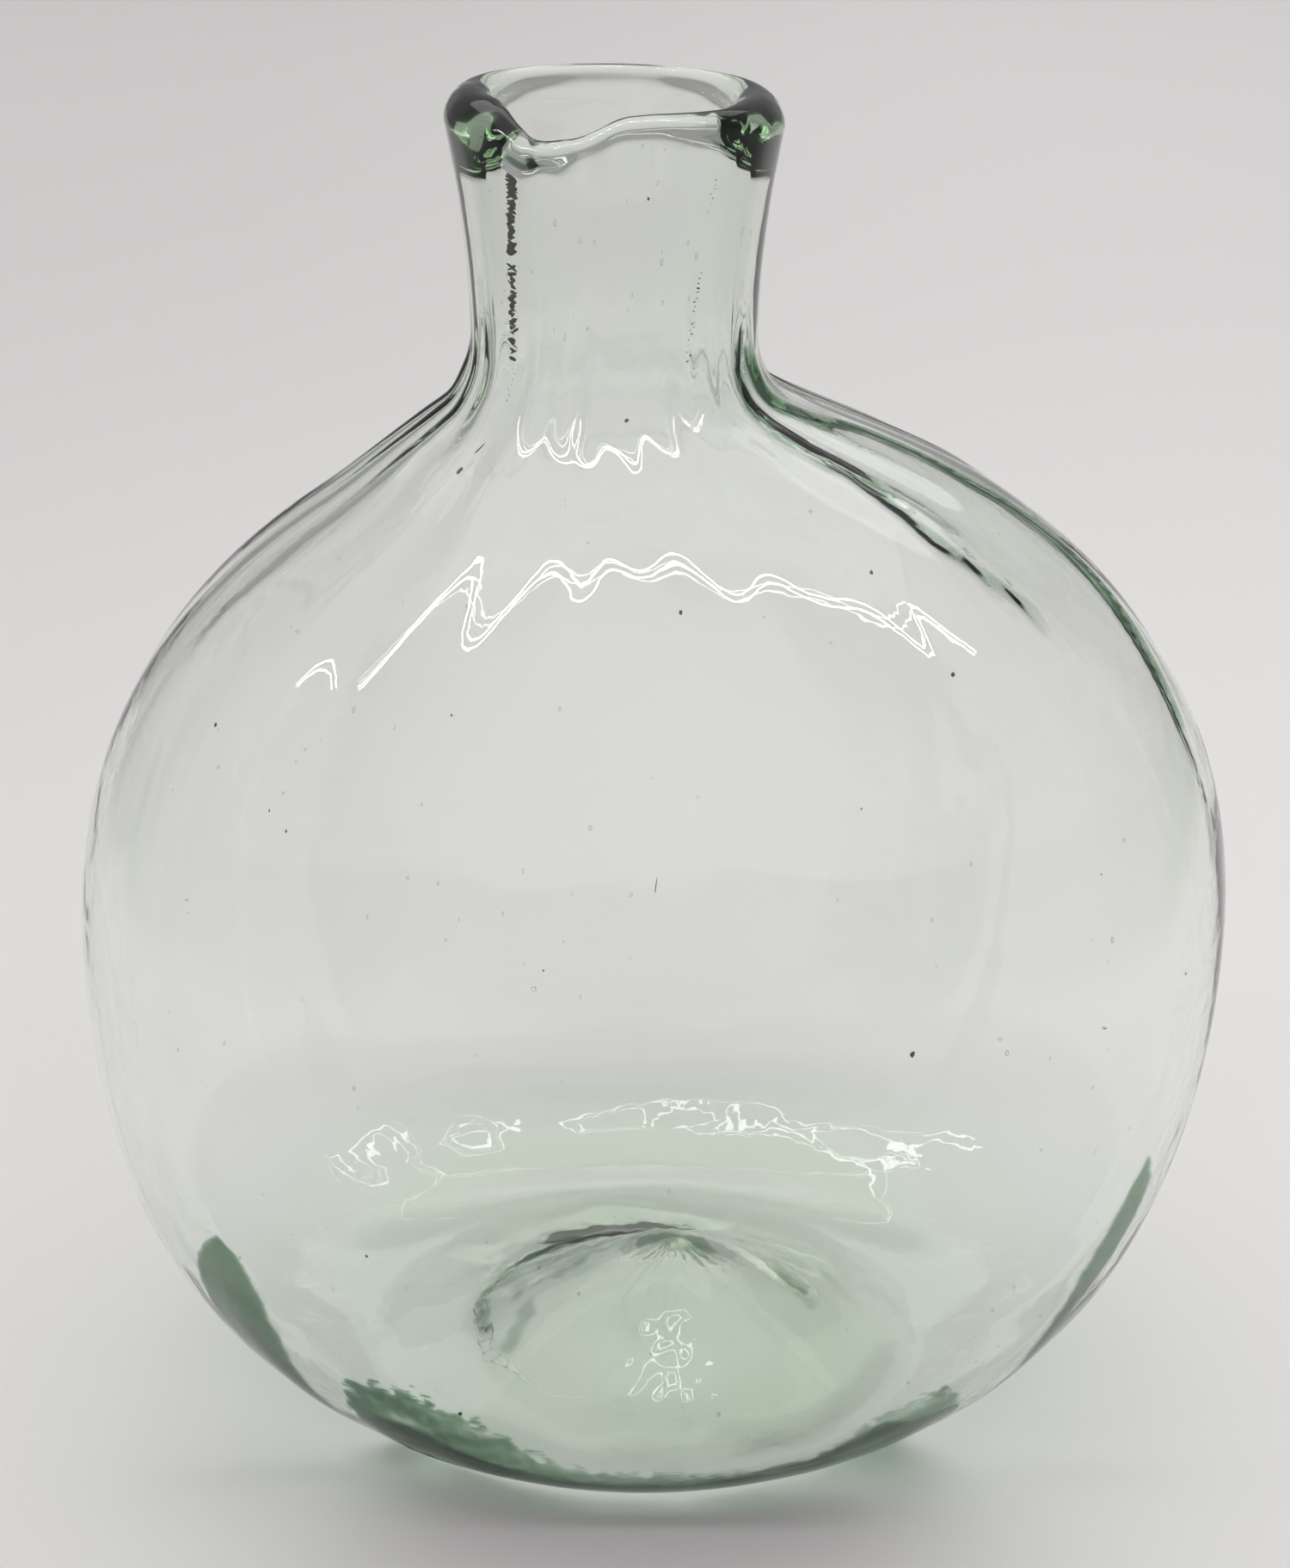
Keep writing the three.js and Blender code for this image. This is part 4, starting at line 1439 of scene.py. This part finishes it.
def wall_brightness(tree, direction):
    """Colour of the tent's walls by how far round to the back they are."""
    level = add_node(tree, "ShaderNodeVectorMath", {0: direction, 1: (1.0, 1.0, 0.0)}, operation="MULTIPLY")
    level = add_node(tree, "ShaderNodeVectorMath", {0: level}, operation="NORMALIZE")
    to_back = add_node(tree, "ShaderNodeSeparateXYZ", {"Vector": level}).outputs["Y"]
    share = add_node(tree, "ShaderNodeMapRange", {"Value": to_back, "From Min": -1.0, "From Max": 1.0})
    ramp = add_node(tree, "ShaderNodeValToRGB", {"Fac": share})
    stops = ramp.color_ramp.elements
    while len(stops) < len(TENT_ROUND):
        stops.new(0.5)
    for stop, (place, value) in zip(stops, TENT_ROUND):
        stop.position = place
        stop.color = (value, value, value, 1.0)
    return ramp.outputs["Color"]


def tent_world():
    """The tent as the glass shows it, and an even light for everything else."""
    world = bpy.data.worlds.new("light_tent")
    scene.world = world
    world.use_nodes = True
    tree = world.node_tree
    tree.nodes.clear()
    direction = add_node(tree, "ShaderNodeTexCoord").outputs["Generated"]
    up = add_node(tree, "ShaderNodeSeparateXYZ", {"Vector": direction}).outputs["Z"]
    roof = add_node(tree, "ShaderNodeMapRange", {
        "Value": up, "From Min": ROOF_FROM, "From Max": ROOF_FULL,
    }, interpolation_type="SMOOTHSTEP")
    walls = add_node(tree, "ShaderNodeMix", {
        "Factor": roof, "A": wall_brightness(tree, direction), "B": CLEAR,
    }, data_type="RGBA")
    tent = add_node(tree, "ShaderNodeMix", {
        "Factor": 1.0, "A": walls.outputs["Result"], "B": BACKDROP_COLOUR,
    }, data_type="RGBA", blend_type="MULTIPLY")
    shown = add_node(tree, "ShaderNodeBackground", {"Color": tent.outputs["Result"], "Strength": 1.0})
    lit = add_node(tree, "ShaderNodeBackground", {"Color": CLEAR, "Strength": TENT_LIGHT})
    light_path = add_node(tree, "ShaderNodeLightPath").outputs
    seen_in_glass = add_node(tree, "ShaderNodeMath", {
        0: light_path["Is Transmission Ray"], 1: light_path["Is Glossy Ray"],
    }, operation="MAXIMUM")
    surface = add_node(tree, "ShaderNodeMixShader", {
        "Fac": seen_in_glass, 1: lit, 2: shown,
    })
    add_node(tree, "ShaderNodeOutputWorld", {"Surface": surface})
    print("tent: %d stops round the walls" % len(TENT_ROUND))


tent_world()

# %% [markdown]
# Two thin strips near the front edge of the roof make the bright double line that runs over the
# shoulder and the net on the floor. Close strips would also burn a line into the paper, so they don't
# light it, and two wide lamps do that instead without showing in the glass. Two large panels are the
# softly lit roof.

# %% Lamps
STRIPS = (
    # name, middle, size, light
    ("front_strip", (-0.04, -0.107, 0.30), (0.76, 0.0028), 50.0),
    ("back_strip", (-0.04, -0.093, 0.30), (0.76, 0.0028), 50.0),
)
FILL_LAMPS = (
    ("front_fill", (-0.02, -0.100, 0.30), (0.76, 0.020), 7.8),
    ("back_fill", (0.0, 0.080, 0.40), (0.76, 0.150), 1.43),
)
ROOF_PANELS = (
    ("far_roof", (0, 0.75, 0.75), (1.4, 0.7), 0.75),
    ("roof", (0, 0.25, 1.3), (2.0, 1.4), 0.3),
)


def flat_lamp(name, place, size, radiance):
    """A rectangle of light that faces down. A radiance of 1 is as bright as white paper."""
    data = bpy.data.lights.new(name, "AREA")
    data.shape = "RECTANGLE"
    data.size, data.size_y = size
    data.energy = radiance * math.pi * size[0] * size[1]
    lamp = bpy.data.objects.new(name, data)
    lamp.location = place
    scene.collection.objects.link(lamp)
    print("%s: %.3f W" % (name, data.energy))
    return lamp


for strip in STRIPS:
    flat_lamp(*strip).visible_diffuse = False
for fill in FILL_LAMPS:
    lamp = flat_lamp(*fill)
    lamp.visible_glossy = False
    lamp.visible_transmission = False
for panel in ROOF_PANELS:
    flat_lamp(*panel)

# %% [markdown]
# The Standard view transform shows colours as they are, without a film curve.

# %% Colour handling
scene.view_settings.view_transform = "Standard"
